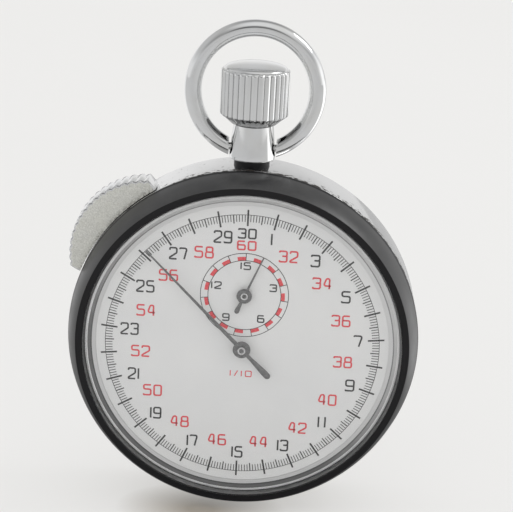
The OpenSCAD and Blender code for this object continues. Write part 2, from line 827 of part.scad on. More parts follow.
// Pawl that holds the ratchet wheel
module click() {
    color(steel) stand_up() at([0, 0], 2.45) linear_extrude(height = 0.6) difference() {
        union() {
            link(click_at, 1, click_tip, 0.08);
            link(click_at, 0.8, click_at + [1.5, 0.9], 0.4);
        }
        translate(click_at) circle(r = 0.4 + run);
    }
}

// Wire spring behind the click, on its own post, with the click's post
module click_spring() {
    color(steel) stand_up() {
        at([0, 0], 2.5) linear_extrude(height = 0.4) polygon(concat(
            arc([0, 0], 20.05, 97, 112.2),
            arc([0, 0], 20.25, 112.2, 97)));
        at(polar(20.15, 97), bridge_z0 - 0.7) cylinder(r = 0.4, h = 0.7);
        at(click_at, 2.1) cylinder(r = 0.7, h = 0.32);
        at(click_at, 2.1) cylinder(r = 0.4, h = 1.6);
    }
}

// ---------- winding ----------

// Wheel between the winding pinion and the ratchet wheel
module crown_wheel() {
    color(steel) stand_up() at(crown_wheel_at, 2.45) linear_extrude(height = 0.6) difference() {
        polygon(gear_points(crown_wheel_n, winding_module, crown_wheel_phase));
        circle(r = 0.9 + run);
    }
}

// Shouldered screw the crown wheel turns on
module crown_wheel_screw() {
    color(steel) stand_up() at(crown_wheel_at, 0) {
        at([0, 0], 1.7) screw(1.5, 0.7, 0.5, 2);
        at([0, 0], 2.4) cylinder(r = 0.9, h = bridge_z0 - 2.4 - tiny);
    }
}

// Pinion on the stem's square whose lowest leaf dips into the crown wheel
module winding_pinion() {
    square_w = 1.1 + 2 * run;
    tooth = [[-0.17, 1.9], [-0.1, 2.62], [0.1, 2.62], [0.17, 1.9]];
    color(steel) stand_up() difference() {
        union() {
            stem_bar(1.4, 16.5, 18.05);
            stem_bar(2.05, 17.35, 18.05);
            for (i = [0:winding_n - 1]) {
                translate([0, 17.35, stem_z]) rotate([0, i * 360 / winding_n, 0])
                    rotate([-90, 0, 0]) linear_extrude(height = 0.7) polygon(tooth);
            }
        }
        translate([-square_w / 2, 16, stem_z - square_w / 2]) cube([square_w, 3, square_w]);
    }
}

// ---------- going train ----------

// Arbor with two pivots and one set of leaves
module arbor(p, z0, z1, r, pivot_r, n, m, phase, leaf_z, leaf_h) {
    at(p, z0) cylinder(r = pivot_r, h = z1 - z0);
    at(p, bridge_z1 + 0.05) cylinder(r = r, h = plate_z0 - bridge_z1 - 0.1);
    at(p, leaf_z) leaves(n, m, phase, leaf_h);
}

module second_wheel() {
    color(brass) stand_up() at(second_at, 4.75)
        wheel(train_n, train_module, 0, 0.3, 0.35 + tiny, 5);
}

module second_pinion() {
    color(steel) stand_up()
        arbor(second_at, bridge_z0 + 0.3, plate_z0 + 0.7, 0.35, 0.2,
            pinion_n, barrel_module, second_phase, 6.35, 0.75);
}

module third_wheel() {
    color(brass) stand_up() at(third_at, 5.75)
        wheel(train_n, train_module, 0, 0.25, 0.35 + tiny, 5);
}

module third_pinion() {
    color(steel) stand_up()
        arbor(third_at, bridge_z0 + 0.3, plate_z0 + 0.7, 0.35, 0.2,
            pinion_n, train_module, third_phase, 4.68, 0.5);
}

module sweep_wheel() {
    color(brass) stand_up() at(sweep_at, 5.3)
        wheel(sweep_n, fine_module, 0, 0.2, 0.4 + tiny, 5);
}

// Long arbor: back pivot, train pinion, counter pinion, hand seat
module sweep_arbor() {
    color(steel) stand_up() {
        at(sweep_at, bridge_z0 + 0.3) cylinder(r = 0.2, h = 2);
        at(sweep_at, bridge_z1 + 0.05) cylinder(r = 0.4, h = seconds_hand_z + 0.5 - bridge_z1);
        at(sweep_at, 5.65) leaves(pinion_n, train_module, sweep_phase, 0.45);
        at(sweep_at, plate_z1 + 0.1) leaves(pinion_n, intermediate_module, 0, 0.5);
    }
}

module escape_pinion() {
    color(steel) stand_up()
        arbor(escape_at, bridge_z0 + 0.3, plate_z0 + 0.7, 0.3, 0.2,
            escape_pinion_n, fine_module, escape_phase, 5.2, 0.45);
}

// Escape wheel: fifteen leaning club teeth on thin spokes
module escape_wheel() {
    teeth = 15;
    rim = 1.75;
    color(steel) stand_up() at(escape_at, 6.2) linear_extrude(height = 0.25) difference() {
        polygon([for (i = [0:teeth - 1])
            for (k = [[0, rim], [6, escape_r - 0.25], [8.5, escape_r], [12, escape_r - 0.2], [13, rim + 0.1]])
                polar(k.y, i * 360 / teeth + k.x)]);
        circle(r = 0.3 + tiny);
        for (i = [0:3]) {
            mid = 45 + i * 90;
            polygon(concat(
                arc([0, 0], rim - 0.3, mid - 34, mid + 34),
                arc([0, 0], 0.75, mid + 22, mid - 22, 4)));
        }
    }
}

// ---------- escapement ----------

// Direction from the fork's pivot to the escape wheel
fork_up = heading(fork_at, escape_at);
stone_r = escape_r + 0.16;
stone_half = 30;

// Lever with two arms around the escape wheel and a notch for the impulse pin
module pallet_fork() {
    color(steel) stand_up() difference() {
        union() {
            at([0, 0], 6.2) linear_extrude(height = 0.25) difference() {
                union() {
                    link(fork_at, 0.55, fork_at + polar(3, fork_up + 180), 0.3);
                    for (s = [-1, 1]) {
                        link(fork_at, 0.4, escape_at + polar(stone_r + 0.3, fork_up + 180 + s * stone_half), 0.26);
                    }
                }
                translate(fork_at + polar(3.25, fork_up + 180)) rotate(fork_up)
                    square([1, 0.5], center = true);
            }
            at(fork_at, 5.4) cylinder(r = 0.12, h = plate_z0 + 0.5 - 5.4);
            at(fork_at, 5.95) cylinder(r = 0.3, h = 1.2);
        }
        for (s = [-1, 1]) {
            stone_box(s, 0.01);
        }
    }
}

// Block of one pallet stone, grown by a small gap
module stone_box(s, gap) {
    a = fork_up + 180 + s * stone_half;
    translate([escape_at.x, escape_at.y, 6.14 - gap]) rotate([0, 0, a])
        translate([stone_r - gap, -0.13 - gap, 0]) cube([0.42 + 2 * gap, 0.26 + 2 * gap, 0.37 + 2 * gap]);
}

module pallet_stones() {
    color(ruby) stand_up() for (s = [-1, 1]) {
        stone_box(s, 0);
    }
}

// Balance rim with two arms
module balance_wheel() {
    color(brass) stand_up() at(balance_at, 0) {
        at([0, 0], 4.4) disc(balance_r, 0.6, balance_r - 0.6);
        at([0, 0], 4.55) linear_extrude(height = 0.3) difference() {
            union() {
                circle(r = 1);
                square([2 * balance_r - 0.8, 0.8], center = true);
            }
            circle(r = 0.35 + tiny);
        }
    }
}

// Staff with its pivots, roller table and impulse pin
module balance_staff() {
    pin_from = heading(balance_at, fork_at);
    color(steel) stand_up() at(balance_at, 0) {
        at([0, 0], 2.5) cylinder(r = 0.1, h = 5.6);
        at([0, 0], 3.2) cylinder(r = 0.35, h = 3.9);
        at([0, 0], 5.65) cylinder(r = 1.25, h = 0.25);
        at(polar(1, pin_from), 5.9) cylinder(r = 0.15, h = 0.25);
    }
}

// Flat spiral that returns the balance
module hairspring() {
    color(steel) stand_up() at(balance_at, 3.45) linear_extrude(height = 0.25)
        polygon(spiral_points(0.55, 2.85, 7, 0.08));
}

// Index on the cock with two curb pins and the hairspring's stud
module regulator() {
    away = heading(cock_post, balance_at) + 50;
    color(steel) stand_up() {
        at([0, 0], 1.85) linear_extrude(height = 0.3) difference() {
            union() {
                translate(balance_at) circle(r = 1.5);
                link(balance_at, 0.4, balance_at + polar(3.4, away), 0.45);
            }
            translate(balance_at) circle(r = 0.75);
        }
        for (r = [2.56, 2.9]) {
            at(balance_at + polar(r, away), 2) cylinder(r = 0.09, h = 1.75);
        }
        at(balance_at + [3.15, 0], 3.1 + tiny) cylinder(r = 0.22, h = 0.6);
    }
}

// Hole jewels and cap jewels of the balance
module balance_jewels() {
    color(ruby) stand_up() at(balance_at, 0) {
        at([0, 0], 2.55) disc(0.7 - tiny, 0.4, 0.1 + 0.02);
        at([0, 0], 2.2) cylinder(r = 0.7 - tiny, h = 0.29);
        at([0, 0], plate_z0 + 0.1) disc(0.7 - tiny, 0.4, 0.1 + 0.02);
        at([0, 0], 8.12) cylinder(r = 0.7 - tiny, h = 0.3);
    }
}

// ---------- stopwatch works ----------

// Heart cam, its dip turned with its hand
module heart(turn, hole) {
    rotate([0, 0, turn]) linear_extrude(height = 0.5) difference() {
        polygon(heart_points(heart_dip, heart_tip));
        circle(r = hole);
    }
}

module sweep_heart() {
    color(steel) stand_up() at(sweep_at, heart_z) heart(seconds_turn, 0.4 + tiny);
}

module minute_heart() {
    color(steel) stand_up() at(counter_at, heart_z) heart(minute_turn, 0.35 + tiny);
}

// Counter wheel with its arbor up to the minute hand
module minute_counter_wheel() {
    color(brass) stand_up() at(counter_at, 0) {
        at([0, 0], 9.6) wheel(counter_n, counter_module, counter_phase, 0.2, 0.35, 4);
        at([0, 0], plate_z1 - 1) cylinder(r = 0.2, h = 2);
        at([0, 0], plate_z1 + 0.02) cylinder(r = 0.35, h = minute_hand_z + 0.12 - plate_z1);
    }
}

// Intermediate wheel and pinion turning on a stud
module minute_intermediate() {
    color(brass) stand_up() at(intermediate_at, 0) difference() {
        union() {
            at([0, 0], 9.2) wheel(intermediate_n, intermediate_module, intermediate_phase, 0.2, 0.3, 4);
            at([0, 0], 9.05) cylinder(r = 0.5, h = 0.9);
            at([0, 0], 9.5) leaves(counter_pinion_n, counter_module, 0, 0.4);
        }
        at([0, 0], 9) cylinder(r = 0.25 + run, h = 2);
    }
}

// Hammer: long arm with a face for each heart and a pin to the column wheel
module reset_hammer() {
    knee = [4.6, 0];
    top = [5.5, counter_y];
    color(steel) stand_up() {
        at([0, 0], heart_z) linear_extrude(height = 0.5) difference() {
            union() {
                link(hammer_at, 1.3, knee, 0.8);
                link(knee, 0.8, top, 0.8);
                link(top, 0.8, hammer_pin_at, 0.6);
                translate([2.95, -1.1]) square([1.6, 2.2]);
                translate([3.5, counter_y - 1.1]) square([1.6, 2.2]);
            }
            translate(hammer_at) circle(r = 0.6 + run);
        }
        at(hammer_pin_at, 5.2) cylinder(r = 0.35, h = heart_z - 5.2 + 0.1);
    }
}

// Bent blade on a post that presses the hammer's back
module hammer_spring() {
    color(steel) stand_up() {
        at([0, 0], heart_z + 0.1) linear_extrude(height = 0.25) polygon(concat(
            curve([9.4, -14.5], [9.3, -6], [5.72, -1.8], 10),
            curve([5.9, -1.7], [9.5, -6], [9.6, -14.5], 10)));
        at([9.5, -14.5], plate_z1) cylinder(r = 0.5, h = 1.6);
    }
}

// Column wheel: saw-toothed ratchet with six columns on a stud
module column_wheel() {
    color(steel) stand_up() at(column_at, 0) difference() {
        union() {
            at([0, 0], 6.5) linear_extrude(height = 0.5) polygon(ratchet_points(12, column_r, 0.55));
            at([0, 0], 4.9) cylinder(r = 1, h = 1.7);
            for (i = [0:5]) {
                at([0, 0], 5.1) linear_extrude(height = 1.45) polygon(concat(
                    arc([0, 0], 2.2, i * 60 - 13, i * 60 + 13, 4),
                    arc([0, 0], 1.4, i * 60 + 10, i * 60 - 10, 4)));
            }
        }
        at([0, 0], 4) cylinder(r = 0.45 + run, h = 4);
    }
}

// Lever from the pusher sleeve to the column wheel's pawl, with its pivot screw hole
module operating_lever() {
    tip = [1.4, 20.05];
    // bent, so that the arm clears the winding pinion when the crown is in
    bend = [3.6, 19.75];
    color(steel) stand_up() at([0, 0], 6.55) linear_extrude(height = 0.45) difference() {
        union() {
            link(tip, 0.45, bend, 0.5);
            link(bend, 0.5, lever_at, 1.1);
            link(lever_at, 0.8, [14.55, 10.75], 0.3);
        }
        translate(lever_at) circle(r = 0.5 + run);
    }
}

// Brake lever: a short arm by the slide, a long arm to the balance rim
module stop_lever() {
    brake = [2.9, -12.15];
    color(steel) stand_up() {
        at([0, 0], 6.55) linear_extrude(height = 0.45) difference() {
            union() {
                link(stop_at, 1.1, [-19.6, 7.4], 0.45);
                link(stop_at, 0.9, brake, 0.45);
            }
            translate(stop_at) circle(r = 0.5 + run);
        }
        at(brake, bridge_z1 + 0.08) cylinder(r = 0.4, h = 2);
    }
}

// Shouldered screws that the column wheel and the two levers turn on
module lever_screws() {
    color(steel) stand_up() {
        at(column_at, 4.4) lever_screw(0.45, 2.8);
        at(lever_at, 6.05) lever_screw(0.5, 1.15);
        at(stop_at, 6.05) lever_screw(0.5, 1.15);
    }
}

// Screw with a round shoulder of the given radius, head included in its height
module lever_screw(shoulder, h) {
    screw(0.85, 0.42, 0.3, h + 0.6);
    at([0, 0], 0.42) cylinder(r = shoulder, h = h - 0.43);
}

// ---------- nodes ----------

case_middle();
case_back();
back_gasket();
bezel();
crystal();
reflector_ring();
pendant();
bow();
crown();
winding_stem();
pusher_sleeve();
crown_spring();
thumb_slide();
slide_retainer();
dial();
seconds_hand();
minute_hand();
mainplate();
barrel_bridge();
train_bridge();
balance_cock();
pallet_cock();
bridge_screws();
case_screws();
barrel_drum();
barrel_cover();
barrel_arbor();
mainspring();
ratchet_wheel();
ratchet_screw();
click();
click_spring();
crown_wheel();
crown_wheel_screw();
winding_pinion();
second_wheel();
second_pinion();
third_wheel();
third_pinion();
sweep_wheel();
sweep_arbor();
escape_wheel();
escape_pinion();
pallet_fork();
pallet_stones();
balance_wheel();
balance_staff();
hairspring();
regulator();
balance_jewels();
sweep_heart();
minute_heart();
minute_counter_wheel();
minute_intermediate();
reset_hammer();
hammer_spring();
column_wheel();
operating_lever();
stop_lever();
lever_screws();
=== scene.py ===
"""Looks of the mechanical stopwatch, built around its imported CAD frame.

Bench coordinates are used for shapes: x to the right, y towards the crown,
z from the case back towards the crystal, in millimetres. upright() turns them
into the row frame, which is upright and in metres.
"""
import json
import math

import bmesh
import bpy
from mathutils import Matrix, Vector


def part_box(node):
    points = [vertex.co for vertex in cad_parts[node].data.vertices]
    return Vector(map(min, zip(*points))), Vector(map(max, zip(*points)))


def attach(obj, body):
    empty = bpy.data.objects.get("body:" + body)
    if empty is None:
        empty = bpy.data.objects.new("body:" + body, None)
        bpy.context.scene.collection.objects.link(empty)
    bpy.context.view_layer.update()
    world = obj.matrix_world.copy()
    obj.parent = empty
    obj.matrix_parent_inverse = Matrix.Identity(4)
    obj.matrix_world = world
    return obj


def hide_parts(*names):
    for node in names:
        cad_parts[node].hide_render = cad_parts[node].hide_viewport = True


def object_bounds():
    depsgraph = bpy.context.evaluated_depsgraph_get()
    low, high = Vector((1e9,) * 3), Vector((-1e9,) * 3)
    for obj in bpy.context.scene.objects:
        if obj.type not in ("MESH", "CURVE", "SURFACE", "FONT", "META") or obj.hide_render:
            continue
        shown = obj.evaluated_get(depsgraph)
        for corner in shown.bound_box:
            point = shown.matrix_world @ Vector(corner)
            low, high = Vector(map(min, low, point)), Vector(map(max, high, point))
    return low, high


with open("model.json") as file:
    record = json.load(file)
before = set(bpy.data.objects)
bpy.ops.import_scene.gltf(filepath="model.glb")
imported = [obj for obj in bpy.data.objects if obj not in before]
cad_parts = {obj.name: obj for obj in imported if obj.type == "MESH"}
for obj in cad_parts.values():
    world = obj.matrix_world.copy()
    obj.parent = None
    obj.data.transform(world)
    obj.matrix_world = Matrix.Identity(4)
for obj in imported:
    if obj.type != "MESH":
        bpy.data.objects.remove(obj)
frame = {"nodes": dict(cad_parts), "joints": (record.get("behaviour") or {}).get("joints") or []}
cad_low, cad_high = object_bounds()
MM = 0.001
TAU = 2 * math.pi
# a radius below this is a point on the lathe's axis
ON_AXIS = 1e-6


# ---------- sizes read from the frame ----------

def bench_box(node):
    """Lowest and highest corner of a CAD node in bench coordinates."""
    low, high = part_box(node)
    return (Vector((low.x, low.z, -high.y)) / MM, Vector((high.x, high.z, -low.y)) / MM)


CASE_LOW, CASE_HIGH = bench_box("case_middle")
CASE_R = CASE_HIGH.x
BACK_HIGH = bench_box("case_back")[1]
BACK_R = BACK_HIGH.x
BEZEL_LOW, BEZEL_HIGH = bench_box("bezel")
CRYSTAL_HIGH = bench_box("crystal")[1]
REFLECTOR_LOW = bench_box("reflector_ring")[0]
PENDANT_LOW, PENDANT_HIGH = bench_box("pendant")
CROWN_LOW, CROWN_HIGH = bench_box("crown")
BOW_LOW, BOW_HIGH = bench_box("bow")
SLIDE_LOW, SLIDE_HIGH = bench_box("thumb_slide")
DIAL_Z = bench_box("dial")[1].z
SECONDS_LOW, SECONDS_HIGH = bench_box("seconds_hand")
MINUTE_LOW, MINUTE_HIGH = bench_box("minute_hand")
ARBOR_TOP = bench_box("sweep_arbor")[1].z
JOINTS = {j["name"]: j for j in frame["joints"]}
STEM_Z = -JOINTS["crown_turn"]["pos_m"][1] / MM
COUNTER_Y = JOINTS["minute"]["pos_m"][2] / MM
BOW_PIVOT_Y = JOINTS["bow_swing"]["pos_m"][2] / MM
SPIGOT_R = BACK_R - 0.1
CRYSTAL_R = CRYSTAL_HIGH.x
# play between parts that are put together
FIT = 0.02
BACK_THICK = 1.1
NECK_R = 2.6
BOW_PIN_R = 0.55
# height of the ring between the dial and the crystal's foot
RING_HEIGHT = 0.5


# ---------- mesh helpers ----------

def polar(r, degrees):
    """Point at radius r, with the angle counted anticlockwise from +x."""
    a = math.radians(degrees)
    return Vector((r * math.cos(a), r * math.sin(a)))


def clock(r, degrees):
    """Point at radius r, with the angle counted clockwise from 12 o'clock."""
    return polar(r, 90 - degrees)


def upright(p):
    """Bench point in millimetres to row point in metres."""
    return Vector((p[0], -p[2], p[1])) * MM


def rounded(points, radii, steps, closed=True):
    """Polyline with each corner replaced by an arc that touches both sides."""
    count = len(points)
    nearly_straight = math.radians(88)
    points = [Vector(p) for p in points]
    if not hasattr(radii, "__len__"):
        radii = [radii] * count
    out = []
    for i, p in enumerate(points):
        if not closed and i in (0, count - 1) or radii[i] <= 0:
            out.append(p)
            continue
        before = points[i - 1] - p
        after = points[(i + 1) % count] - p
        half = before.angle(after) / 2
        if half > nearly_straight:
            out.append(p)
            continue
        # an arc takes less than half of the shorter side
        reach = min(radii[i] / math.tan(half), 0.48 * before.length, 0.48 * after.length)
        radius = reach * math.tan(half)
        before.normalize()
        after.normalize()
        centre = p + (before + after).normalized() * radius / math.sin(half)
        first = p + before * reach - centre
        last = p + after * reach - centre
        out += [centre + first.lerp(last, k / steps).normalized() * radius for k in range(steps + 1)]
    return out


def soft_profile(points, steps):
    """Rounds a profile whose points carry their corner's radius as a third value."""
    return rounded([p[:2] for p in points], [p[2] for p in points], steps)


def bend(start, pull, end, steps):
    """Points after the start of a curve that leaves towards pull and arrives from it."""
    return [start * (1 - t) ** 2 + pull * 2 * t * (1 - t) + end * t * t
            for t in ((i + 1) / steps for i in range(steps))]


def place_object(name, data):
    """New scene object around a mesh, a light or a camera."""
    made = bpy.data.objects.new(name, data)
    bpy.context.scene.collection.objects.link(made)
    return made


def upright_object(name, bm):
    """Scene object made from a shape on the bench."""
    bmesh.ops.recalc_face_normals(bm, faces=bm.faces)
    for v in bm.verts:
        v.co = upright(v.co)
    mesh = bpy.data.meshes.new(name)
    bm.to_mesh(mesh)
    bm.free()
    return place_object(name, mesh)


def new_piece(name, bm, materials, body, replaces=(), smooth=32):
    """Makes a piece from a bench shape, with its materials, and puts it on its body."""
    piece = upright_object(name, bm)
    for material in materials:
        piece.data.materials.append(material)
    if smooth:
        piece.data.shade_smooth()
        piece.data.set_sharp_from_angle(angle=math.radians(smooth))
    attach(piece, body)
    if replaces:
        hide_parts(*replaces)
    return piece


def lathe(bm, profile, segments=240, closed=True, place=None, slots=None):
    """Turns a profile of (radius, height) points about the z axis, or about place."""
    place = place or Matrix.Identity(4)
    rings = []
    for r, z in profile:
        if r < ON_AXIS:
            rings.append([bm.verts.new(place @ Vector((0, 0, z)))])
            continue
        rings.append([
            bm.verts.new(place @ Vector((r * math.cos(a), r * math.sin(a), z)))
            for a in (TAU * i / segments for i in range(segments))])
    count = len(rings)
    for i in range(count if closed else count - 1):
        low, high = rings[i], rings[(i + 1) % count]
        if len(low) == 1 and len(high) == 1:
            continue
        for j in range(segments):
            k = (j + 1) % segments
            corners = [low[j % len(low)], low[k % len(low)], high[k % len(high)], high[j % len(high)]]
            face = bm.faces.new(list(dict.fromkeys(corners)))
            if slots:
                face.material_index = slots(i)


def skin(bm, rings):
    """Joins each ring of vertices to the next one with quads."""
    for a, b in zip(rings, rings[1:]):
        for j in range(len(a)):
            k = (j + 1) % len(a)
            bm.faces.new([a[j], b[j], b[k], a[k]])


def closed_skin(bm, rings):
    """Skin over the rings with both ends filled."""
    skin(bm, rings)
    bm.faces.new(rings[0])
    bm.faces.new(rings[-1][::-1])


def prism(bm, outline, z0, z1):
    """Closed solid between two heights."""
    low = [bm.verts.new((p[0], p[1], z0)) for p in outline]
    high = [bm.verts.new((p[0], p[1], z1)) for p in outline]
    closed_skin(bm, [low, high])


def stroke_outline(points, width, closed=False):
    """Left and right edges of a stroke drawn along a polyline."""
    count = len(points)
    left, right = [], []
    for i, p in enumerate(points):
        arriving = (p - points[i - 1]).normalized()
        leaving = (points[(i + 1) % count] - p).normalized()
        if not closed and i == 0:
            arriving = leaving
        if not closed and i == count - 1:
            leaving = arriving
        along = (arriving + leaving).normalized()
        # the corner's half width grows with the turn, up to twice the stroke's
        reach = width / 2 / max(0.5, along.dot(arriving))
        normal = Vector((-along.y, along.x))
        left.append(p + normal * reach)
        right.append(p - normal * reach)
    return left, right


def stroke(bm, points, width, z0, z1, closed=False):
    """Flat raised stroke along a polyline, as a closed solid."""
    left, right = stroke_outline([Vector(p) for p in points], width, closed)
    rings = []
    for l, r in zip(left, right):
        rings.append([bm.verts.new((q.x, q.y, z)) for q, z in ((l, z0), (l, z1), (r, z1), (r, z0))])
    if closed:
        skin(bm, rings + rings[:1])
    else:
        closed_skin(bm, rings)


def cut(piece, cutter_bm):
    """Takes a bench shape out of a piece."""
    cutter = upright_object("cutter", cutter_bm)
    modifier = piece.modifiers.new("cut", "BOOLEAN")
    modifier.object = cutter
    modifier.operation = "DIFFERENCE"
    modifier.solver = "EXACT"
    graph = bpy.context.evaluated_depsgraph_get()
    whole, tool = piece.data, cutter.data
    piece.data = bpy.data.meshes.new_from_object(piece.evaluated_get(graph))
    piece.modifiers.remove(modifier)
    bpy.data.objects.remove(cutter)
    for mesh in (whole, tool):
        bpy.data.meshes.remove(mesh)
    piece.data.name = piece.name


def drill(r, low, high, segments, place):
    """Cylinder to be cut out of a piece."""
    bm = bmesh.new()
    lathe(bm, [(0, low), (r, low), (r, high), (0, high)], segments, closed=False, place=place)
    return bm


def along_stem():
    """Places a lathe's z axis along the stem, so that its heights are bench y."""
    return Matrix.Translation((0, 0, STEM_Z)) @ Matrix.Rotation(math.radians(-90), 4, "X")


# ---------- material helpers ----------

def feed(tree, socket, value):
    """Links another node's output to a socket, or gives the socket a plain value."""
    if isinstance(value, bpy.types.NodeSocket):
        tree.links.new(value, socket)
    else:
        socket.default_value = value


class Nodes:
    """Small wrapper that adds and links shader nodes in one call."""

    def __init__(self, name):
        self.material = bpy.data.materials.new(name)
        self.material.use_nodes = True
        self.tree = self.material.node_tree
        self.tree.nodes.clear()
        self.out = self.tree.nodes.new("ShaderNodeOutputMaterial")
        self.coord = self.tree.nodes.new("ShaderNodeTexCoord").outputs["Object"]

    def add(self, kind, props=None, **inputs):
        """New node: _0 names an input by its number, Base_Color by its name."""
        node = self.tree.nodes.new(kind)
        for key, value in (props or {}).items():
            setattr(node, key, value)
        for key, value in inputs.items():
            feed(self.tree, node.inputs[int(key[1:]) if key[0] == "_" else key.replace("_", " ")], value)
        return node

    def noise(self, per_mm, detail=3.0, rough=0.55, stretch=(1, 1, 1), distortion=0.0):
        """Noise with a number of bumps per millimetre, optionally stretched."""
        place = self.add("ShaderNodeMapping", Vector=self.coord, Scale=stretch)
        node = self.add("ShaderNodeTexNoise", Vector=place.outputs[0], Scale=per_mm / MM,
                        Detail=detail, Roughness=rough, Distortion=distortion)
        return node.outputs["Fac"]

    def cells(self, per_mm, random=1.0):
        """Distance to the nearest of a number of points per millimetre."""
        return self.add("ShaderNodeTexVoronoi", Vector=self.coord, Scale=per_mm / MM,
                        Randomness=random).outputs["Distance"]

    def span(self, value, low, high, to_low=0.0, to_high=1.0):
        """Value carried from one range to another, clamped."""
        return self.add("ShaderNodeMapRange", {"clamp": True}, Value=value, _1=low, _2=high,
                        _3=to_low, _4=to_high).outputs[0]

    def grained(self, grain, smooth, rough):
        """Roughness that follows a noise."""
        return self.span(grain, 0.3, 0.7, smooth, rough)

    def math(self, operation, a, b=0.0):
        """Arithmetic on one or two values."""
        return self.add("ShaderNodeMath", {"operation": operation}, _0=a, _1=b).outputs[0]

    def plus(self, a, b):
        """Sum of two values."""
        return self.math("ADD", a, b)

    def times(self, a, b):
        """Product of two values."""
        return self.math("MULTIPLY", a, b)

    def blend(self, value, low, high, a, b):
        """Colour that goes from one to another while a value goes from low to high."""
        return self.mix(self.span(value, low, high), a, b)

    def vector(self, operation, a, b=(0, 0, 0)):
        """Vector node, whose result is a vector or a plain value."""
        return self.add("ShaderNodeVectorMath", {"operation": operation}, _0=a, _1=b).outputs

    def mix(self, factor, a, b):
        """Colour mix."""
        return self.add("ShaderNodeMix", {"data_type": "RGBA"}, _0=factor, _6=a, _7=b).outputs[2]

    def bump(self, height, distance_mm, strength=1.0, normal=None):
        """Surface relief, laid over another one if that is given."""
        node = self.add("ShaderNodeBump", Height=height, Distance=distance_mm * MM, Strength=strength)
        if normal:
            self.tree.links.new(normal, node.inputs["Normal"])
        return node.outputs[0]

    def axis(self, index):
        """One of the object coordinates, in millimetres."""
        split = self.add("ShaderNodeSeparateXYZ", Vector=self.coord)
        return self.times(split.outputs[index], 1 / MM)

    def finish(self, **inputs):
        """Closes the material with one principled shader."""
        shader = self.add("ShaderNodeBsdfPrincipled", **inputs)
        self.tree.links.new(shader.outputs[0], self.out.inputs[0])
        return self.material


def grey(value, tint=(1, 1, 1)):
    """Colour of one brightness, tinted if wanted."""
    return (value * tint[0], value * tint[1], value * tint[2], 1)


def chrome_material(name, wear=0.5, tone=0.86):
    """Polished chrome with faint waviness, hairline scratches and dull patches."""
    n = Nodes(name)
    patches = n.noise(0.25, 4)
    hair = n.noise(6, 2, stretch=(1, 0.06, 0.6), distortion=0.3)
    fine = n.noise(14, 2)
    colour = n.blend(patches, 0.35, 0.7, grey(tone, (0.99, 1, 1.01)), grey(tone * 0.94, (1, 1, 0.985)))
    rough = n.span(patches, 0.4, 0.75, 0.05 + 0.03 * wear, 0.07 + 0.16 * wear)
    normal = n.bump(hair, 0.004 * wear, 0.5)
    normal = n.bump(fine, 0.002, 0.4 * wear, normal)
    return n.finish(Base_Color=colour, Metallic=1.0, Roughness=rough, Normal=normal)


def worn_band_material():
    """Chrome of the case band: pits and scuffs crowd along the edge under the bezel, and the plating is
    painted darker towards the upper right as shade.
    """
    n = Nodes("worn_chrome")
    depth = n.times(n.axis(1), -1.0)
    near_edge = n.span(depth, CASE_HIGH.z - 5.0, BEZEL_LOW.z, 0.0, 1.0)
    patches = n.noise(0.22, 4, 0.6)
    flecks = n.noise(1.1, 5, 0.66, stretch=(1, 1.6, 1))
    pits = n.cells(2.6)
    upper_right = n.span(n.plus(n.axis(0), n.axis(2)), 5.0, 34.0)
    edge_wear = n.times(near_edge, n.span(upper_right, 0.0, 1.0, 0.10, 0.22))
    amount = n.plus(edge_wear, n.times(patches, 0.12))
    worn = n.span(n.plus(flecks, amount), 0.73, 0.75)
    pitted = n.times(n.span(pits, 0.16, 0.08), n.span(patches, 0.5, 0.6))
    damage = n.math("MAXIMUM", worn, n.times(pitted, near_edge))
    hair = n.noise(5, 2, stretch=(1, 0.1, 1), distortion=0.4)
    # painted shade: the plating goes darker towards the upper right
    shaded_plating = n.mix(upper_right, grey(0.84), grey(0.64))
    colour = n.mix(damage, shaded_plating, (0.03, 0.025, 0.02, 1))
    rough = n.plus(n.times(damage, 0.45), n.span(patches, 0.35, 0.7, 0.07, 0.2))
    metal = n.span(damage, 0.0, 1.0, 1.0, 0.0)
    normal = n.bump(damage, 0.02, -0.5, n.bump(hair, 0.004, 0.5))
    return n.finish(Base_Color=colour, Metallic=metal, Roughness=rough, Normal=normal)


def bezel_side_material():
    """Satin dark coating, a little rubbed at random."""
    n = Nodes("bezel_satin")
    rub = n.noise(0.35, 4, 0.6)
    grain = n.noise(16, 2)
    colour = n.blend(rub, 0.45, 0.75, grey(0.020, (1, 1, 1.05)), grey(0.032))
    rough = n.span(rub, 0.35, 0.7, 0.30, 0.40)
    return n.finish(Base_Color=colour, Roughness=rough, IOR=1.7,
                    Normal=n.bump(grain, 0.004, 0.35))


def bezel_face_material():
    """Deep black of the bezel's narrow front face."""
    n = Nodes("bezel_black")
    grain = n.noise(9, 3)
    dust = n.span(n.noise(3.5, 5, 0.75), 0.70, 0.78)
    colour = n.mix(dust, grey(0.006, (1, 0.95, 1.1)), grey(0.06))
    return n.finish(Base_Color=colour, Roughness=n.grained(grain, 0.28, 0.4), IOR=1.35,
                    Normal=n.bump(grain, 0.003, 0.3))


def dial_material():
    """Matt silvered dial with a faint grain."""
    n = Nodes("dial_silver")
    cloud = n.noise(0.09, 3)
    grain = n.noise(11, 3, 0.6)
    tone = n.blend(cloud, 0.3, 0.7, grey(0.66, (0.995, 1, 1)), grey(0.69, (1, 1, 0.99)))
    colour = n.mix(n.span(grain, 0.3, 0.8, 0.0, 0.25), tone, grey(0.58))
    return n.finish(Base_Color=colour, Roughness=n.grained(grain, 0.55, 0.68),
                    Normal=n.bump(grain, 0.003, 0.4))


def ink_material(name, colour, faded):
    """Printed ink, slightly uneven."""
    n = Nodes(name)
    uneven = n.noise(3.0, 4, 0.65)
    return n.finish(Base_Color=n.blend(uneven, 0.4, 0.75, colour, faded),
                    Roughness=n.grained(uneven, 0.42, 0.6), Normal=n.bump(uneven, 0.002, 0.4))


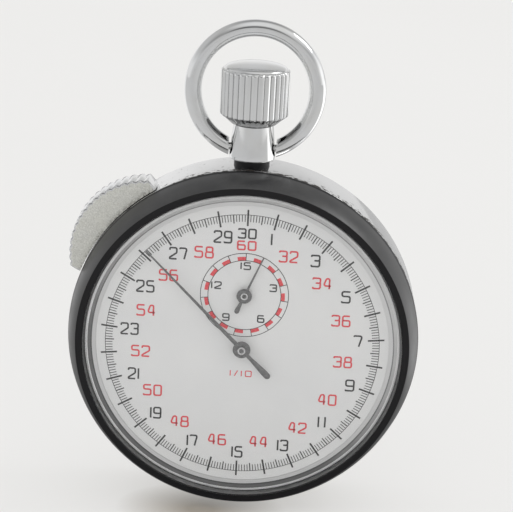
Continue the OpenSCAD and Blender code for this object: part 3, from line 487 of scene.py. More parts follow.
def hand_material(name, tone):
    """Dark satin metal, rubbed lighter in patches."""
    n = Nodes(name)
    rub = n.noise(2.2, 4, 0.6)
    lines = n.noise(9, 2, stretch=(1, 1, 0.2))
    colour = n.blend(rub, 0.45, 0.75, grey(tone), grey(tone * 1.6))
    return n.finish(Base_Color=colour, Metallic=0.6, Roughness=n.grained(rub, 0.34, 0.5),
                    Normal=n.bump(lines, 0.004, 0.4))


def ring_material(name, lower_left, upper_right):
    """Satin part of the ring around the dial, with painted light and shade: toned from the lower left to
    the upper right.
    """
    n = Nodes(name)
    cloud = n.noise(0.8, 3)
    lines = n.noise(5, 2, stretch=(1, 1, 0.3))
    across = n.times(n.axis(0), 0.55)
    # painted light and shade: the tone follows height and the right side, as the light on the ring falls
    shade = n.plus(n.plus(n.axis(2), across), n.times(cloud, 6.0))
    colour = n.blend(shade, -8.0, 22.0, grey(lower_left), grey(upper_right))
    return n.finish(Base_Color=colour, Metallic=0.4, Roughness=n.grained(lines, 0.3, 0.45),
                    Normal=n.bump(lines, 0.004, 0.4))


def grainy_chrome_material():
    """Rough, dulled plating of the slide's front face, pitted beside the bezel."""
    n = Nodes("slide_grain")
    grain = n.noise(4.5, 5, 0.75)
    speck = n.cells(5.5)
    patch = n.noise(0.35, 3)
    colour = n.blend(grain, 0.35, 0.7, (0.52, 0.52, 0.48, 1), (0.86, 0.86, 0.82, 1))
    colour = n.mix(n.span(patch, 0.4, 0.7, 0.0, 0.35), colour, (0.70, 0.69, 0.62, 1))
    squares = n.plus(n.math("POWER", n.axis(0), 2.0), n.math("POWER", n.axis(2), 2.0))
    from_axis = n.math("SQRT", squares)
    beside = n.span(n.plus(from_axis, n.times(patch, 1.2)), CASE_R + 1.4, CASE_R + 0.4)
    pits = n.times(beside, n.span(n.noise(2.4, 4, 0.8), 0.46, 0.53))
    colour = n.mix(pits, colour, (0.16, 0.15, 0.13, 1))
    height = n.plus(grain, n.times(speck, 0.5))
    return n.finish(Base_Color=colour, Metallic=0.6, Roughness=n.grained(grain, 0.38, 0.6),
                    Normal=n.bump(pits, 0.05, -0.7, n.bump(height, 0.03, 0.8)))


def acrylic_material():
    """Clear acrylic seen straight through, mirror-like only at grazing angles."""
    n = Nodes("acrylic")
    ior = 1.49
    scratch = n.noise(5, 3, stretch=(1, 0.2, 0.15), distortion=0.6)
    behind = n.add("ShaderNodeNewGeometry").outputs["Backfacing"]
    # the inner faces are met from the inside, where the index has to be turned over
    fresnel = n.add("ShaderNodeFresnel", IOR=n.span(behind, 0.0, 1.0, ior, 1 / ior)).outputs[0]
    gloss = n.add("ShaderNodeBsdfGlossy", Color=(1, 1, 1, 1), Roughness=0.03,
                  Normal=n.bump(scratch, 0.002, 0.3)).outputs[0]
    clear = n.add("ShaderNodeBsdfTransparent", Color=(1, 1, 1, 1)).outputs[0]
    mixed = n.add("ShaderNodeMixShader", _0=fresnel, _1=clear, _2=gloss).outputs[0]
    n.tree.links.new(mixed, n.out.inputs[0])
    return n.material


def metal_material(name, colour, rough, per_mm, stretch=(1, 1, 1)):
    """Plain worked metal: colour drift, grained roughness and a fine bump."""
    n = Nodes(name)
    drift = n.noise(0.5, 3)
    grain = n.noise(per_mm, 3, stretch=stretch)
    dark = tuple(c * 0.82 for c in colour[:3]) + (1,)
    return n.finish(Base_Color=n.blend(drift, 0.35, 0.7, colour, dark), Metallic=1.0,
                    Roughness=n.grained(grain, rough * 0.8, rough * 1.3),
                    Normal=n.bump(grain, 0.006, 0.5))


def perlage_material():
    """Nickelled plate with overlapping turned spots."""
    n = Nodes("nickel_perlage")
    spots = n.cells(0.75, random=0.12)
    rings = n.math("SINE", n.times(spots, 60.0))
    drift = n.noise(0.4, 3)
    colour = n.blend(drift, 0.35, 0.7, (0.74, 0.73, 0.69, 1), (0.62, 0.61, 0.57, 1))
    return n.finish(Base_Color=colour, Metallic=1.0, Roughness=n.span(rings, -1, 1, 0.2, 0.34),
                    Normal=n.bump(rings, 0.003, 0.5))


def ruby_material():
    """Synthetic ruby of the pallet stones and jewels."""
    n = Nodes("ruby")
    cloud = n.noise(1.5, 3)
    return n.finish(Base_Color=n.mix(cloud, (0.50, 0.01, 0.05, 1), (0.72, 0.05, 0.14, 1)),
                    Roughness=n.grained(cloud, 0.06, 0.16), IOR=1.76, Transmission_Weight=0.35,
                    Normal=n.bump(cloud, 0.002, 0.3))


def rubber_material():
    """Black rubber of the back's gasket."""
    n = Nodes("rubber_black")
    grain = n.noise(7, 4)
    return n.finish(Base_Color=n.mix(grain, grey(0.012), grey(0.03)),
                    Roughness=n.grained(grain, 0.6, 0.8), Normal=n.bump(grain, 0.01, 0.5))


CHROME = chrome_material("chrome", 0.35)
CHROME_BACK = chrome_material("chrome_back", 0.9)
WORN_CHROME = worn_band_material()
BEZEL_SIDE = bezel_side_material()
BEZEL_FACE = bezel_face_material()
DIAL = dial_material()
BLACK_INK = ink_material("ink_black", grey(0.02), grey(0.06))
RED_INK = ink_material("ink_red", (0.62, 0.035, 0.05, 1), (0.72, 0.11, 0.12, 1))
HAND = hand_material("hand_dark", 0.16)
HAND_RING = chrome_material("hand_ring", 0.4, 0.8)
CHROME_EDGE = chrome_material("chrome_edge", 1.0)
# painted shade: darker chrome for the crown's flute grooves and the slide's notches
FLUTE_SHADE = chrome_material("flute_painted_shade", 1.6, 0.5)
# painted shade: darker chrome for the crown's foot
CROWN_FOOT_SHADE = chrome_material("crown_foot_painted_shade", 0.8, 0.36)
# lit and shaded copies of the ring's satin: painted shade on the slope, a painted highlight on the lip,
# painted light on the foot and painted shadow in the dark line
RING_SLOPE_SHADE = ring_material("ring_slope_painted_shade", 0.13, 0.62)
RING_LIP_HIGHLIGHT = ring_material("ring_lip_painted_highlight", 0.80, 0.72)
RING_FOOT_LIT = ring_material("ring_foot_painted_light", 0.60, 0.68)
RING_SHADOW_LINE = ring_material("ring_line_painted_shadow", 0.08, 0.30)
# the bezel's inner wall, toned by position as painted shade
BEZEL_WALL_SHADE = ring_material("bezel_wall_painted_shade", 0.30, 0.24)
SLIDE_FACE = grainy_chrome_material()
ACRYLIC = acrylic_material()
STEEL = metal_material("steel", (0.58, 0.60, 0.62, 1), 0.26, 7, (1, 0.2, 1))
BLUED = metal_material("spring_steel", (0.16, 0.19, 0.27, 1), 0.24, 7)
BRASS = metal_material("brass", (0.78, 0.60, 0.28, 1), 0.24, 6)
NICKEL = perlage_material()
RUBY = ruby_material()
RUBBER = rubber_material()


# ---------- case ----------

def build_band():
    """Chrome band with a rounded back edge, the spigot and the movement's ledge."""
    back_edge = 1.1
    bore = CASE_R - 3.4
    ledge_r = bore - 1
    ledge_low, ledge_high = 7.9, 8.45
    seat = BACK_R + FIT
    seat_high = BACK_THICK + 0.05
    shoulder = BEZEL_LOW.z - FIT
    points = [(seat, CASE_LOW.z, 0.05), (CASE_R, CASE_LOW.z, back_edge), (CASE_R, shoulder, 0.22),
              (SPIGOT_R, shoulder, 0), (SPIGOT_R, DIAL_Z, 0.1), (bore, DIAL_Z, 0.1),
              (bore, ledge_high, 0), (ledge_r, ledge_high, 0.1), (ledge_r, ledge_low, 0.1),
              (bore, ledge_low, 0), (bore, seat_high, 0), (seat, seat_high, 0)]
    bm = bmesh.new()
    lathe(bm, soft_profile(points, 8), 360)
    band = new_piece("case_band", bm, [WORN_CHROME], "case", ["case_middle"])
    cut(band, drill(NECK_R + FIT, bore - 1.5, CASE_R + 1, 48, along_stem()))


def build_back():
    """Pressed-on back with a softened rim, a turned groove and an inner lip."""
    top = BACK_HIGH.z
    lip = CASE_R - 3.7
    lip_bore = lip - 0.7
    inside = BACK_THICK - 0.3
    groove = 17.2
    groove_deep = 0.09
    points = [(0, 0, 0), (groove, 0, 0.1), (groove + 0.15, groove_deep, 0.05),
              (groove + 0.4, groove_deep, 0.05), (groove + 0.55, 0, 0.1), (BACK_R - 1.1, 0, 0.5),
              (BACK_R, 0.35, 0.3), (BACK_R, BACK_THICK, 0.1), (lip, BACK_THICK, 0), (lip, top, 0.1),
              (lip_bore, top, 0.1), (lip_bore, inside, 0), (0, inside, 0)]
    bm = bmesh.new()
    lathe(bm, soft_profile(points, 4), 300, closed=False)
    new_piece("case_back_cover", bm, [CHROME_BACK], "case", ["case_back"])


def build_bezel():
    """Dark bezel: a steep convex side, a crisp edge and a narrow black front face."""
    top = BEZEL_HIGH.z
    low = BEZEL_LOW.z
    skirt = SPIGOT_R + FIT
    lip = CRYSTAL_R + FIT
    floor = DIAL_Z + 0.01
    edge_r = CASE_R - 1.5
    # a rim as wide as the band, a convex side up to the crisp edge, then the face
    chamfer = 0.12
    side = [Vector((CASE_R - chamfer, low)), Vector((CASE_R, low + chamfer)), Vector((CASE_R, low + 0.3)),
            Vector((CASE_R - chamfer, low + 0.6))]
    last_rim = len(side) - 1
    edge = Vector((edge_r, top - 0.1))
    side += bend(side[-1], Vector((CASE_R - 0.55, top - 1.5)), edge, 10)
    face = rounded([edge, (edge_r - 0.08, top), (edge_r - 0.3, top - 0.05), (lip + 0.1, top - 0.02),
                    (lip, top - 0.2), (lip, floor)], [0, 0.05, 0.1, 0.08, 0.05, 0], 3, closed=False)[1:]
    profile = side + face + [Vector((skirt, floor)), Vector((skirt, low))]
    last_side = len(side)
    last_face = len(side + face) - 2

    side_slot, face_slot, wall_slot = range(3)

    def part(i):
        """Satin side, black rim and face, or the grey wall inside, toned as painted shade."""
        if i >= last_face:
            return wall_slot
        return side_slot if last_rim <= i < last_side else face_slot

    bm = bmesh.new()
    lathe(bm, profile, 360, slots=part)
    new_piece("bezel_ring", bm, [BEZEL_SIDE, BEZEL_FACE, BEZEL_WALL_SHADE], "case", ["bezel"])


def build_crystal():
    """Domed acrylic crystal with its wall set inside the bezel."""
    foot = REFLECTOR_LOW.z + RING_HEIGHT + 0.06
    top = CRYSTAL_HIGH.z
    shoulder = BEZEL_HIGH.z + 0.4
    wall_thick = 0.55
    dome_thick = 1
    inner = CRYSTAL_R - wall_thick
    steps = 24
    outside = [(CRYSTAL_R * (1 - i / steps), shoulder + (top - shoulder) * (1 - (1 - i / steps) ** 2))
               for i in range(2, steps + 1)]
    inside = [(inner * i / steps, top - dome_thick - (top - shoulder - 0.75) * (i / steps) ** 2)
              for i in range(steps + 1)]
    wall = [(inner, foot), (CRYSTAL_R, foot), (CRYSTAL_R, shoulder - 0.12),
            (CRYSTAL_R - 0.05, shoulder + 0.03)]
    profile = wall + outside + inside
    bm = bmesh.new()
    lathe(bm, profile, 240)
    new_piece("crystal_dome", bm, [ACRYLIC], "case", ["crystal"], 50)


def build_reflector():
    """Ring around the dial: a foot in painted light, a steep slope in painted shade, a lip with a painted
    highlight and a groove painted dark as shadow.
    """
    low = REFLECTOR_LOW.z
    high = low + RING_HEIGHT
    outer = CRYSTAL_R
    inner = CASE_R - 4.4
    knee = inner + 0.55
    lip = knee + 0.62
    groove = lip + 0.36
    points = [(inner, low, 0), (outer, low, 0), (outer, low + 0.2, 0), (groove + 0.05, low + 0.2, 0.05),
              (groove, high - 0.06, 0.03), (groove - 0.04, high, 0.05), (lip, high, 0.06),
              (knee + 0.18, low + 0.24, 0), (knee, low + 0.16, 0), (inner, low + 0.09, 0.03)]
    profile = soft_profile(points, 4)
    slope_shade_slot, lip_highlight_slot, shadow_line_slot, foot_slot = range(4)

    def part(i):
        """Slope in painted shade, lip with a painted highlight, painted shadow line or foot in painted
        light, from where the profile's stretch lies.
        """
        r, z = (Vector(profile[i]) + Vector(profile[(i + 1) % len(profile)])) / 2
        # the groove and the knee are painted dark as shadow lines
        if r > groove - 0.01 or knee - 0.02 < r < knee + 0.17:
            return shadow_line_slot
        if r > lip - 0.06 and z > low + 0.1:
            return lip_highlight_slot
        return foot_slot if r < knee + 0.02 else slope_shade_slot

    bm = bmesh.new()
    lathe(bm, profile, 300, slots=part)
    materials = [RING_SLOPE_SHADE, RING_LIP_HIGHLIGHT, RING_SHADOW_LINE, RING_FOOT_LIT]
    new_piece("reflector", bm, materials, "case", ["reflector_ring"])


# ---------- neck, crown and bow ----------

def build_pendant():
    """Black neck, painted black as shade and as the mirrored bezel, and flared chrome tube that the bow's
    pins sit in.
    """
    tube_low = CASE_R + 1.05
    low, top = PENDANT_LOW.y, PENDANT_HIGH.y
    wide, narrow = PENDANT_HIGH.x, 2.88
    neck_bore = 1.3
    tube_bore = 2.05
    neck = [(neck_bore, low, 0), (NECK_R, low, 0.1), (NECK_R, tube_low, 0), (neck_bore, tube_low, 0)]
    bm = bmesh.new()
    lathe(bm, soft_profile(neck, 3), 96, place=along_stem())
    new_piece("pendant_neck", bm, [BEZEL_FACE], "case")
    tube = [(2.3, tube_low, 0), (wide - 0.02, tube_low, 0.2), (wide, tube_low + 0.6, 1.2),
            (narrow, top, 0.12), (tube_bore, top, 0.08), (tube_bore, tube_low, 0)]
    bm = bmesh.new()
    lathe(bm, soft_profile(tube, 6), 160, place=along_stem())
    piece = new_piece("pendant_tube", bm, [CHROME], "case", ["pendant"])
    pivot = Matrix.Translation((0, BOW_PIVOT_Y, STEM_Z)) @ Matrix.Rotation(math.radians(90), 4, "Y")
    cut(piece, drill(BOW_PIN_R + 0.03, -2 * wide, 2 * wide, 32, pivot))


def build_crown():
    """Fluted crown with a low dome, painted shade in the flutes and a plain conical foot painted dark as
    shade.
    """
    flutes = 32
    per_flute = 12
    groove_half = 1.1
    depth = 0.2
    radius = CROWN_HIGH.x
    low, high = CROWN_LOW.y, CROWN_HIGH.y
    shoulder = high - 0.98
    stem_bore, tube_bore = 0.95, 3.2
    bore_mid, bore_top = low + 4.2, high - 2
    segments = flutes * per_flute
    # rows of the outer skin: radius, height and share of the flute's depth
    foot = [(tube_bore, low, 0.0), (tube_bore + 0.1, low + 0.02, 0.0), (radius - 0.55, low + 0.98, 0.5)]
    grip = [(radius - 0.14, low + 1.26, 1.0), (radius - 0.03, low + 1.38, 1.0),
            (radius, low + 1.6, 1.0), (radius, shoulder - 0.4, 1.0), (radius - 0.03, shoulder - 0.2, 1.0),
            (radius - 0.12, shoulder - 0.06, 0.9), (radius - 0.26, shoulder, 0.45),
            (radius - 0.4, shoulder + 0.03, 0.12)]
    dome_r = radius - 0.46
    dome_low = shoulder + 0.05
    dome_steps = 14
    dome = [(dome_r * math.cos(t), dome_low + (high - dome_low) * math.sin(t), 0.0)
            for t in (math.pi / 2 * i / dome_steps for i in range(dome_steps))]
    bore = [(stem_bore, bore_top, 0.0), (stem_bore, bore_mid, 0.0), (tube_bore, bore_mid, 0.0)]
    rows = bore + foot + grip + dome
    place = along_stem()
    bm = bmesh.new()
    rings = []
    for r, y, share in rows:
        ring = []
        for i in range(segments):
            ridge = abs(math.cos(math.pi * i / per_flute))
            around = TAU * i / segments
            at = r - depth * share * (1 - ridge) ** 0.8
            ring.append(bm.verts.new(place @ Vector((at * math.cos(around), at * math.sin(around), y))))
        rings.append(ring)
    chrome_slot, painted_shade_slot, foot_slot = range(3)
    grip_start = len(bore + foot)
    shade_end = grip_start + len(grip) - 4
    for row, (low_ring, high_ring) in enumerate(zip(rings, rings[1:])):
        for i in range(segments):
            k = (i + 1) % segments
            face = bm.faces.new([low_ring[i], low_ring[k], high_ring[k], high_ring[i]])
            in_groove = abs(i % per_flute + 0.5 - per_flute / 2) < groove_half
            # the grooves of the lower flutes are painted dark as shade, and the foot is painted dark as
            # shade
            if row < grip_start:
                face.material_index = foot_slot
            else:
                face.material_index = painted_shade_slot if in_groove and row < shade_end else chrome_slot
    for ring, y in ((rings[0], bore_top), (rings[-1], high)):
        tip = bm.verts.new(place @ Vector((0, 0, y)))
        for i in range(segments):
            bm.faces.new([ring[i], ring[(i + 1) % segments], tip])
    new_piece("crown_cap", bm, [CHROME, FLUTE_SHADE, CROWN_FOOT_SHADE], "crown", ["crown"], 40)


def build_bow():
    """Ring of round wire, flattened where it meets the pendant, with a pin at each end."""
    wire = 1.22
    ring = (BOW_HIGH.x - BOW_LOW.x) / 2 - wire
    gap = PENDANT_HIGH.x + 0.1
    lean = math.radians(2)
    centre_up = math.sqrt(ring * ring - gap * gap)
    place = Matrix.Translation((0, BOW_PIVOT_Y, STEM_Z)) @ Matrix.Rotation(-lean, 4, "X")
    # the wire reaches a little past the pivot, where the flat cuts it off
    past = 0.04
    start = -math.asin(centre_up / ring) - past
    end = math.pi - start
    steps, sides = 150, 32
    bm = bmesh.new()
    rings = []
    for i in range(steps + 1):
        a = start + (end - start) * i / steps
        radial = Vector((math.cos(a), math.sin(a), 0))
        row = []
        for j in range(sides):
            b = TAU * j / sides
            p = radial * (ring + wire * math.cos(b)) + Vector((0, centre_up, wire * math.sin(b)))
            if radial.y < 0:
                p.x = math.copysign(max(abs(p.x), gap), p.x)
            row.append(bm.verts.new(place @ p))
        rings.append(row)
    closed_skin(bm, rings)
    tip, root = gap - 1.1, gap + 0.5
    chamfer = 0.05
    pin = [(0, tip), (BOW_PIN_R - chamfer, tip), (BOW_PIN_R, tip + chamfer), (BOW_PIN_R, root), (0, root)]
    for side in (-1, 1):
        turned = place @ Matrix.Rotation(math.radians(90 * side), 4, "Y")
        lathe(bm, pin, 24, closed=False, place=turned)
    new_piece("bow_ring", bm, [CHROME], "bow", ["bow"], 50)


# ---------- thumb slide ----------

def build_slide():
    """Half-moon slide: coin edge, softened rims and a grainy face."""
    middle = 140.5
    reach = 4.5
    edge_r = 11.5
    edge_half = 50
    centre = polar(CASE_R + reach - edge_r, middle)
    notches = 16
    per_notch = 10
    notch_depth = 0.24
    shade_half = 3.2
    steps = notches * per_notch
    z0, z1 = SLIDE_LOW.z, SLIDE_HIGH.z
    # the back follows the band, and both ends run out towards it in a curve
    inner = CASE_R + 0.12
    end_half = 19
    end_narrowing = 2.2
    end_steps = 8
    back_steps = 24

    def outline(inset):
        """Line around the slide, drawn inwards by an inset except at the back."""
        edge = []
        for i in range(steps + 1):
            ridge = abs(math.cos(math.pi * i / per_notch))
            r = edge_r - notch_depth * (1 - ridge) ** 0.9 - inset
            edge.append(centre + polar(r, middle - edge_half + 2 * edge_half * i / steps))
        end_angle = end_half - inset * end_narrowing
        first, pull_first, last, pull_last = (
            polar(CASE_R + out, middle + side * end_angle) for side in (-1, 1) for out in (-0.2, 0.9))
        head = bend(edge[0], pull_first, first, end_steps)[::-1]
        tail = bend(edge[-1], pull_last, last, end_steps)
        back = [polar(inner, middle + end_half * (1 - 2 * i / back_steps)) for i in range(1, back_steps)]
        return [p if p.length > inner else p.normalized() * inner for p in head + edge + tail] + back

    chrome_slot, face_slot, painted_shade_slot = range(3)
    # the notches of the front rim's bevel are painted dark as shade
    shaded_rows = (3, 4)
    rows = [(0.12, z0), (0.03, z0 + 0.04), (0.0, z0 + 0.14), (0.0, z1 - 0.3), (0.05, z1 - 0.12),
            (0.16, z1 - 0.02), (0.3, z1)]
    bm = bmesh.new()
    rings = [[bm.verts.new((p.x, p.y, z)) for p in outline(inset)] for inset, z in rows]
    count = len(rings[0])
    for row, (low, high) in enumerate(zip(rings, rings[1:])):
        for i in range(count):
            k = (i + 1) % count
            face = bm.faces.new([low[i], low[k], high[k], high[i]])
            along = (i - end_steps) % per_notch + 0.5 - per_notch / 2
            in_notch = end_steps <= i < end_steps + steps and abs(along) < shade_half
            face.material_index = painted_shade_slot if row in shaded_rows and in_notch else chrome_slot
    caps = [bm.faces.new(rings[0][::-1]), bm.faces.new(rings[-1])]
    caps[1].material_index = face_slot
    bmesh.ops.remove_doubles(bm, verts=bm.verts, dist=1e-5)
    bmesh.ops.triangulate(bm, faces=[f for f in bm.faces if len(f.verts) > 4])
    materials = [CHROME_EDGE, SLIDE_FACE, FLUTE_SHADE]
    new_piece("slide_plate", bm, materials, "thumb_slide", ["thumb_slide"], 35)


# ---------- dial printing ----------

# strokes of each character in a unit square, and whether a stroke closes on itself
STROKES = {
    "0": [([(0, 0), (1, 0), (1, 1), (0, 1)], True)],
    "1": [([(0, 0), (0, 1)], False)],
    "2": [([(0, 0.80), (0, 1), (1, 1), (1, 0.56), (0, 0.12), (0, 0), (1, 0)], False)],
    "3": [([(0, 0.86), (0, 1), (1, 1), (1, 0.53), (0.36, 0.53)], False),
          ([(0.9, 0.53), (1, 0.53), (1, 0), (0, 0), (0, 0.14)], False)],
    "4": [([(0.80, 0), (0.80, 1), (0.36, 1), (0, 0.30), (1, 0.30)], False)],
    "5": [([(1, 1), (0, 1), (0, 0.57), (1, 0.57), (1, 0), (0, 0), (0, 0.12)], False)],
    "6": [([(0.95, 1), (0, 1), (0, 0), (1, 0), (1, 0.56), (0, 0.56)], False)],
    "7": [([(0, 0.9), (0, 1), (1, 1), (0.62, 0)], False)],
    "8": [([(0, 0), (1, 0), (1, 0.53), (0, 0.53)], True),
          ([(0.07, 0.53), (0.93, 0.53), (0.93, 1), (0.07, 1)], True)],
    "9": [([(0, 0.1), (0, 0), (1, 0), (1, 1), (0, 1), (0, 0.45), (1, 0.45)], False)],
    "/": [([(0, 0), (0.55, 1)], False)],
}
# characters narrower than the others, and the extra room between two ones
NARROW = {"1": 0.0, "/": 0.5}
PAIR_GAP = 0.5
# the print stands on the dial, and a digit's second stroke lies on its first
PRINT_LOW = DIAL_Z + 0.002
PRINT_HIGH = DIAL_Z + 0.016
LAYER_STEP = 0.003


def write(bm, text, centre, width, height, line, gap):
    """Prints characters centred on a point: width and height are a digit's outside size."""
    inner_w = width - line
    inner_h = height - line
    corner = 0.13 * height
    step = gap + line + (PAIR_GAP if text == "11" else 0)
    widths = [inner_w * NARROW.get(c, 1.0) for c in text]
    x = centre[0] - (sum(widths) + step * (len(text) - 1)) / 2
    y = centre[1] - inner_h / 2
    for c, w in zip(text, widths):
        for layer, (points, closed) in enumerate(STROKES[c]):
            placed = [(x + p[0] * inner_w, y + p[1] * inner_h) for p in points]
            soft = rounded(placed, corner, 4, closed)
            stroke(bm, soft, line, PRINT_LOW, PRINT_HIGH + layer * LAYER_STEP, closed)
        x += w + step


def line_between(bm, a, b, width):
    """Printed straight line."""
    stroke(bm, [a, b], width, PRINT_LOW, PRINT_HIGH)


def circle(bm, centre, r, width, count):
    """Printed circle of a number of short lines."""
    points = [centre + clock(r, i * 360 / count) for i in range(count)]
    stroke(bm, points, width, PRINT_LOW, PRINT_HIGH, True)


def print_seconds_track(bm):
    """Outer scale: thirty seconds in tenths, with the odd seconds numbered."""
    seconds = 30
    tenths = 10
    track = 20.16
    second_tick = (18.5, 20.92, 0.26)
    half_tick = (18.88, track, 0.16)
    tenth_tick = (19.12, track, 0.11)
    for i in range(seconds * tenths):
        turn = i * 360 / (seconds * tenths)
        if i % tenths == 0:
            inside, outside, width = second_tick
        else:
            inside, outside, width = half_tick if i % tenths == tenths // 2 else tenth_tick
        line_between(bm, clock(inside, turn), clock(outside, turn), width)
    circle(bm, Vector((0, 0)), track, 0.08, 240)
    write(bm, "30", clock(17.35, 0), 1.25, 1.6, 0.25, 0.22)
    for number in range(1, seconds, 2):
        spot = clock(17.05, number * 360 / seconds)
        if number > 10:
            # two digits are wider, so they stand a little closer to the middle
            spot.x *= 0.98
        write(bm, str(number), spot, 1.25 if number > 10 else 1.42, 1.92, 0.25, 0.22)


def print_red_seconds(bm):
    """Even seconds of the second turn, on a slightly upright oval."""
    oval = 0.965
    write(bm, "60", clock(15.55, 0), 1.3, 1.5, 0.245, 0.24)
    for number in range(32, 60, 2):
        spot = clock(15.55, number * 12)
        spot.x *= oval
        write(bm, str(number), spot, 1.3, 1.84, 0.245, 0.24)


# the minute counter: its middle, its two circles and the turn of one minute
COUNTER = Vector((0, COUNTER_Y - 0.1))
COUNTER_OUTER = 6.42
COUNTER_INNER = 5.32
MINUTE_TURN = 24


def print_counter(bm):
    """Two circles, a line a minute, every third minute numbered."""
    width = 0.1
    for r in (COUNTER_OUTER, COUNTER_INNER):
        circle(bm, COUNTER, r, width, 120)
    for turn in range(0, 360, MINUTE_TURN):
        line_between(bm, COUNTER + clock(COUNTER_INNER, turn), COUNTER + clock(COUNTER_OUTER, turn), width)
    for minute in (3, 6, 9, 12, 15):
        spot = COUNTER + clock(4.5 if minute == 15 else 4.35, minute * MINUTE_TURN)
        write(bm, str(minute), spot, 1.1, 1.2, 0.2, 0.26)


def print_red_blocks(bm):
    """A red block just before each minute line of the counter."""
    low = COUNTER_INNER + 0.05
    high = COUNTER_INNER + 0.58
    block_turn = 12
    steps = 4
    for line_turn in range(0, 360, MINUTE_TURN):
        turns = [line_turn - 12.5 + block_turn * i / steps for i in range(steps + 1)]
        outline = [COUNTER + clock(low, t) for t in turns] + [COUNTER + clock(high, t) for t in turns[::-1]]
        prism(bm, outline, PRINT_LOW, PRINT_HIGH)


def build_dial_print():
    """Scales and numerals: the black ones and the red ones are two raised prints."""
    black = bmesh.new()
    print_seconds_track(black)
    print_counter(black)
    new_piece("dial_print_black", black, [BLACK_INK], "case", smooth=0)
    red = bmesh.new()
    print_red_seconds(red)
    print_red_blocks(red)
    write(red, "1/10", (0, -4.32), 1.0, 1.02, 0.15, 0.46)
    new_piece("dial_print_red", red, [RED_INK], "case", smooth=0)


# ---------- hands ----------

def hand_body(bm, halves, z, thick, turn, centre):
    """Flat hand with crowned edges: halves is a list of (distance, half width)."""
    place = Matrix.Translation((*centre, 0)) @ Matrix.Rotation(math.radians(-turn), 4, "Z")
    side = z + thick * 0.6
    top = z + thick
    rings = []
    for y, half in halves:
        flat = max(half * 0.45, 0.02)
        section = [(-half, z), (-half, side), (-flat, top), (flat, top), (half, side), (half, z)]
        rings.append([bm.verts.new(place @ Vector((x, y, h))) for x, h in section])
    closed_skin(bm, rings)


def hub(bm, profile, centre, ring_z):
    """Turned hub, bright above ring_z except in its middle."""
    cup_r = 0.327
    first_bright = next(i for i, p in enumerate(profile) if p[1] > ring_z)

    def part(i):
        """Dark hub or bright ring."""
        return 1 if i >= first_bright and profile[i][0] > cup_r else 0

    lathe(bm, profile, 64, closed=False, place=Matrix.Translation((*centre, 0)), slots=part)


def build_seconds_hand():
    """Sweep hand: fine needle, paddle tail and a stepped hub with a bright ring."""
    z = SECONDS_LOW.z + 0.05
    tip = math.hypot(SECONDS_LOW.x, SECONDS_HIGH.y)
    turn = math.degrees(math.atan2(SECONDS_LOW.x, SECONDS_HIGH.y))
    tail = 6.0
    paddle = 0.48
    halves = [(tip, 0.07), (tip - 0.3, 0.11), (tip * 0.5, 0.19), (1.4, 0.30), (0.0, 0.34), (-1.2, 0.27),
              (-2.0, 0.28), (-tail + 1.2, paddle)]
    halves += [(-tail + paddle * (1 - math.sin(t)), paddle * math.cos(t) + 0.001)
               for t in (math.pi / 2 * i / 6 for i in range(1, 7))]
    bm = bmesh.new()
    hand_body(bm, halves, z, 0.14, turn, (0, 0))
    # the cup in the middle closes over the end of the arbor
    cup = ARBOR_TOP + 0.03
    top = cup + 0.07
    profile = rounded([(0, z - 0.05), (1.2, z - 0.05), (1.32, z + 0.06), (1.25, z + 0.22), (0.85, z + 0.26),
                       (0.62, z + 0.26), (0.58, top), (0.36, top), (0.32, cup), (0, cup)],
                      [0, 0.04, 0.1, 0.1, 0, 0.02, 0.05, 0.03, 0.02, 0], 3, closed=False)
    hub(bm, profile, (0, 0), z + 0.3)
    new_piece("sweep_hand", bm, [HAND, HAND_RING], "sweep", ["seconds_hand"], 30)


def build_minute_hand():
    """Small counter hand on its own hub."""
    z = MINUTE_LOW.z + 0.15
    centre = (0, COUNTER_Y)
    reach = Vector((MINUTE_HIGH.x, MINUTE_HIGH.y - COUNTER_Y))
    tip = reach.length
    turn = math.degrees(math.atan2(reach.x, reach.y))
    tail = 2.9
    halves = [(tip, 0.06), (tip - 0.3, 0.09), (1.0, 0.17), (0.0, 0.2), (-1.0, 0.20), (-tail + 0.5, 0.36),
              (-tail + 0.2, 0.34), (-tail, 0.14)]
    bm = bmesh.new()
    hand_body(bm, halves, z, 0.12, turn, centre)
    top = MINUTE_HIGH.z + 0.07
    cup = top - 0.1
    profile = rounded([(0, z - 0.15), (1.05, z - 0.15), (1.14, z - 0.05), (1.08, z + 0.1), (0.8, z + 0.15),
                       (0.56, z + 0.15), (0.52, top), (0.34, top), (0.28, cup), (0, cup)],
                      [0, 0.04, 0.08, 0.08, 0, 0.02, 0.04, 0.04, 0.02, 0], 3, closed=False)
    hub(bm, profile, centre, z + 0.17)
    new_piece("counter_hand", bm, [HAND, HAND_RING], "minute", ["minute_hand"], 30)


# ---------- carried-over CAD pieces ----------

CAD_MATERIALS = {
    "dial": DIAL,
    "back_gasket": RUBBER,
    "pallet_stones": RUBY, "balance_jewels": RUBY,
    "mainplate": NICKEL, "barrel_bridge": NICKEL, "train_bridge": NICKEL,
    "balance_cock": NICKEL, "pallet_cock": NICKEL,
    "barrel_drum": BRASS, "barrel_cover": BRASS, "second_wheel": BRASS, "third_wheel": BRASS,
    "sweep_wheel": BRASS, "balance_wheel": BRASS, "minute_counter_wheel": BRASS,
    "minute_intermediate": BRASS,
    "mainspring": BLUED, "hairspring": BLUED, "click_spring": BLUED, "hammer_spring": BLUED,
    "crown_spring": BLUED,
}


def dress_cad_nodes():
    """Gives every CAD node that is still shown its material and smooth shading."""
    for name, node in frame["nodes"].items():
        if node.hide_render:
            continue
        node.data.materials.clear()
        node.data.materials.append(CAD_MATERIALS.get(name, STEEL))
        node.data.shade_smooth()
        node.data.set_sharp_from_angle(angle=math.radians(30))


# ---------- stage ----------

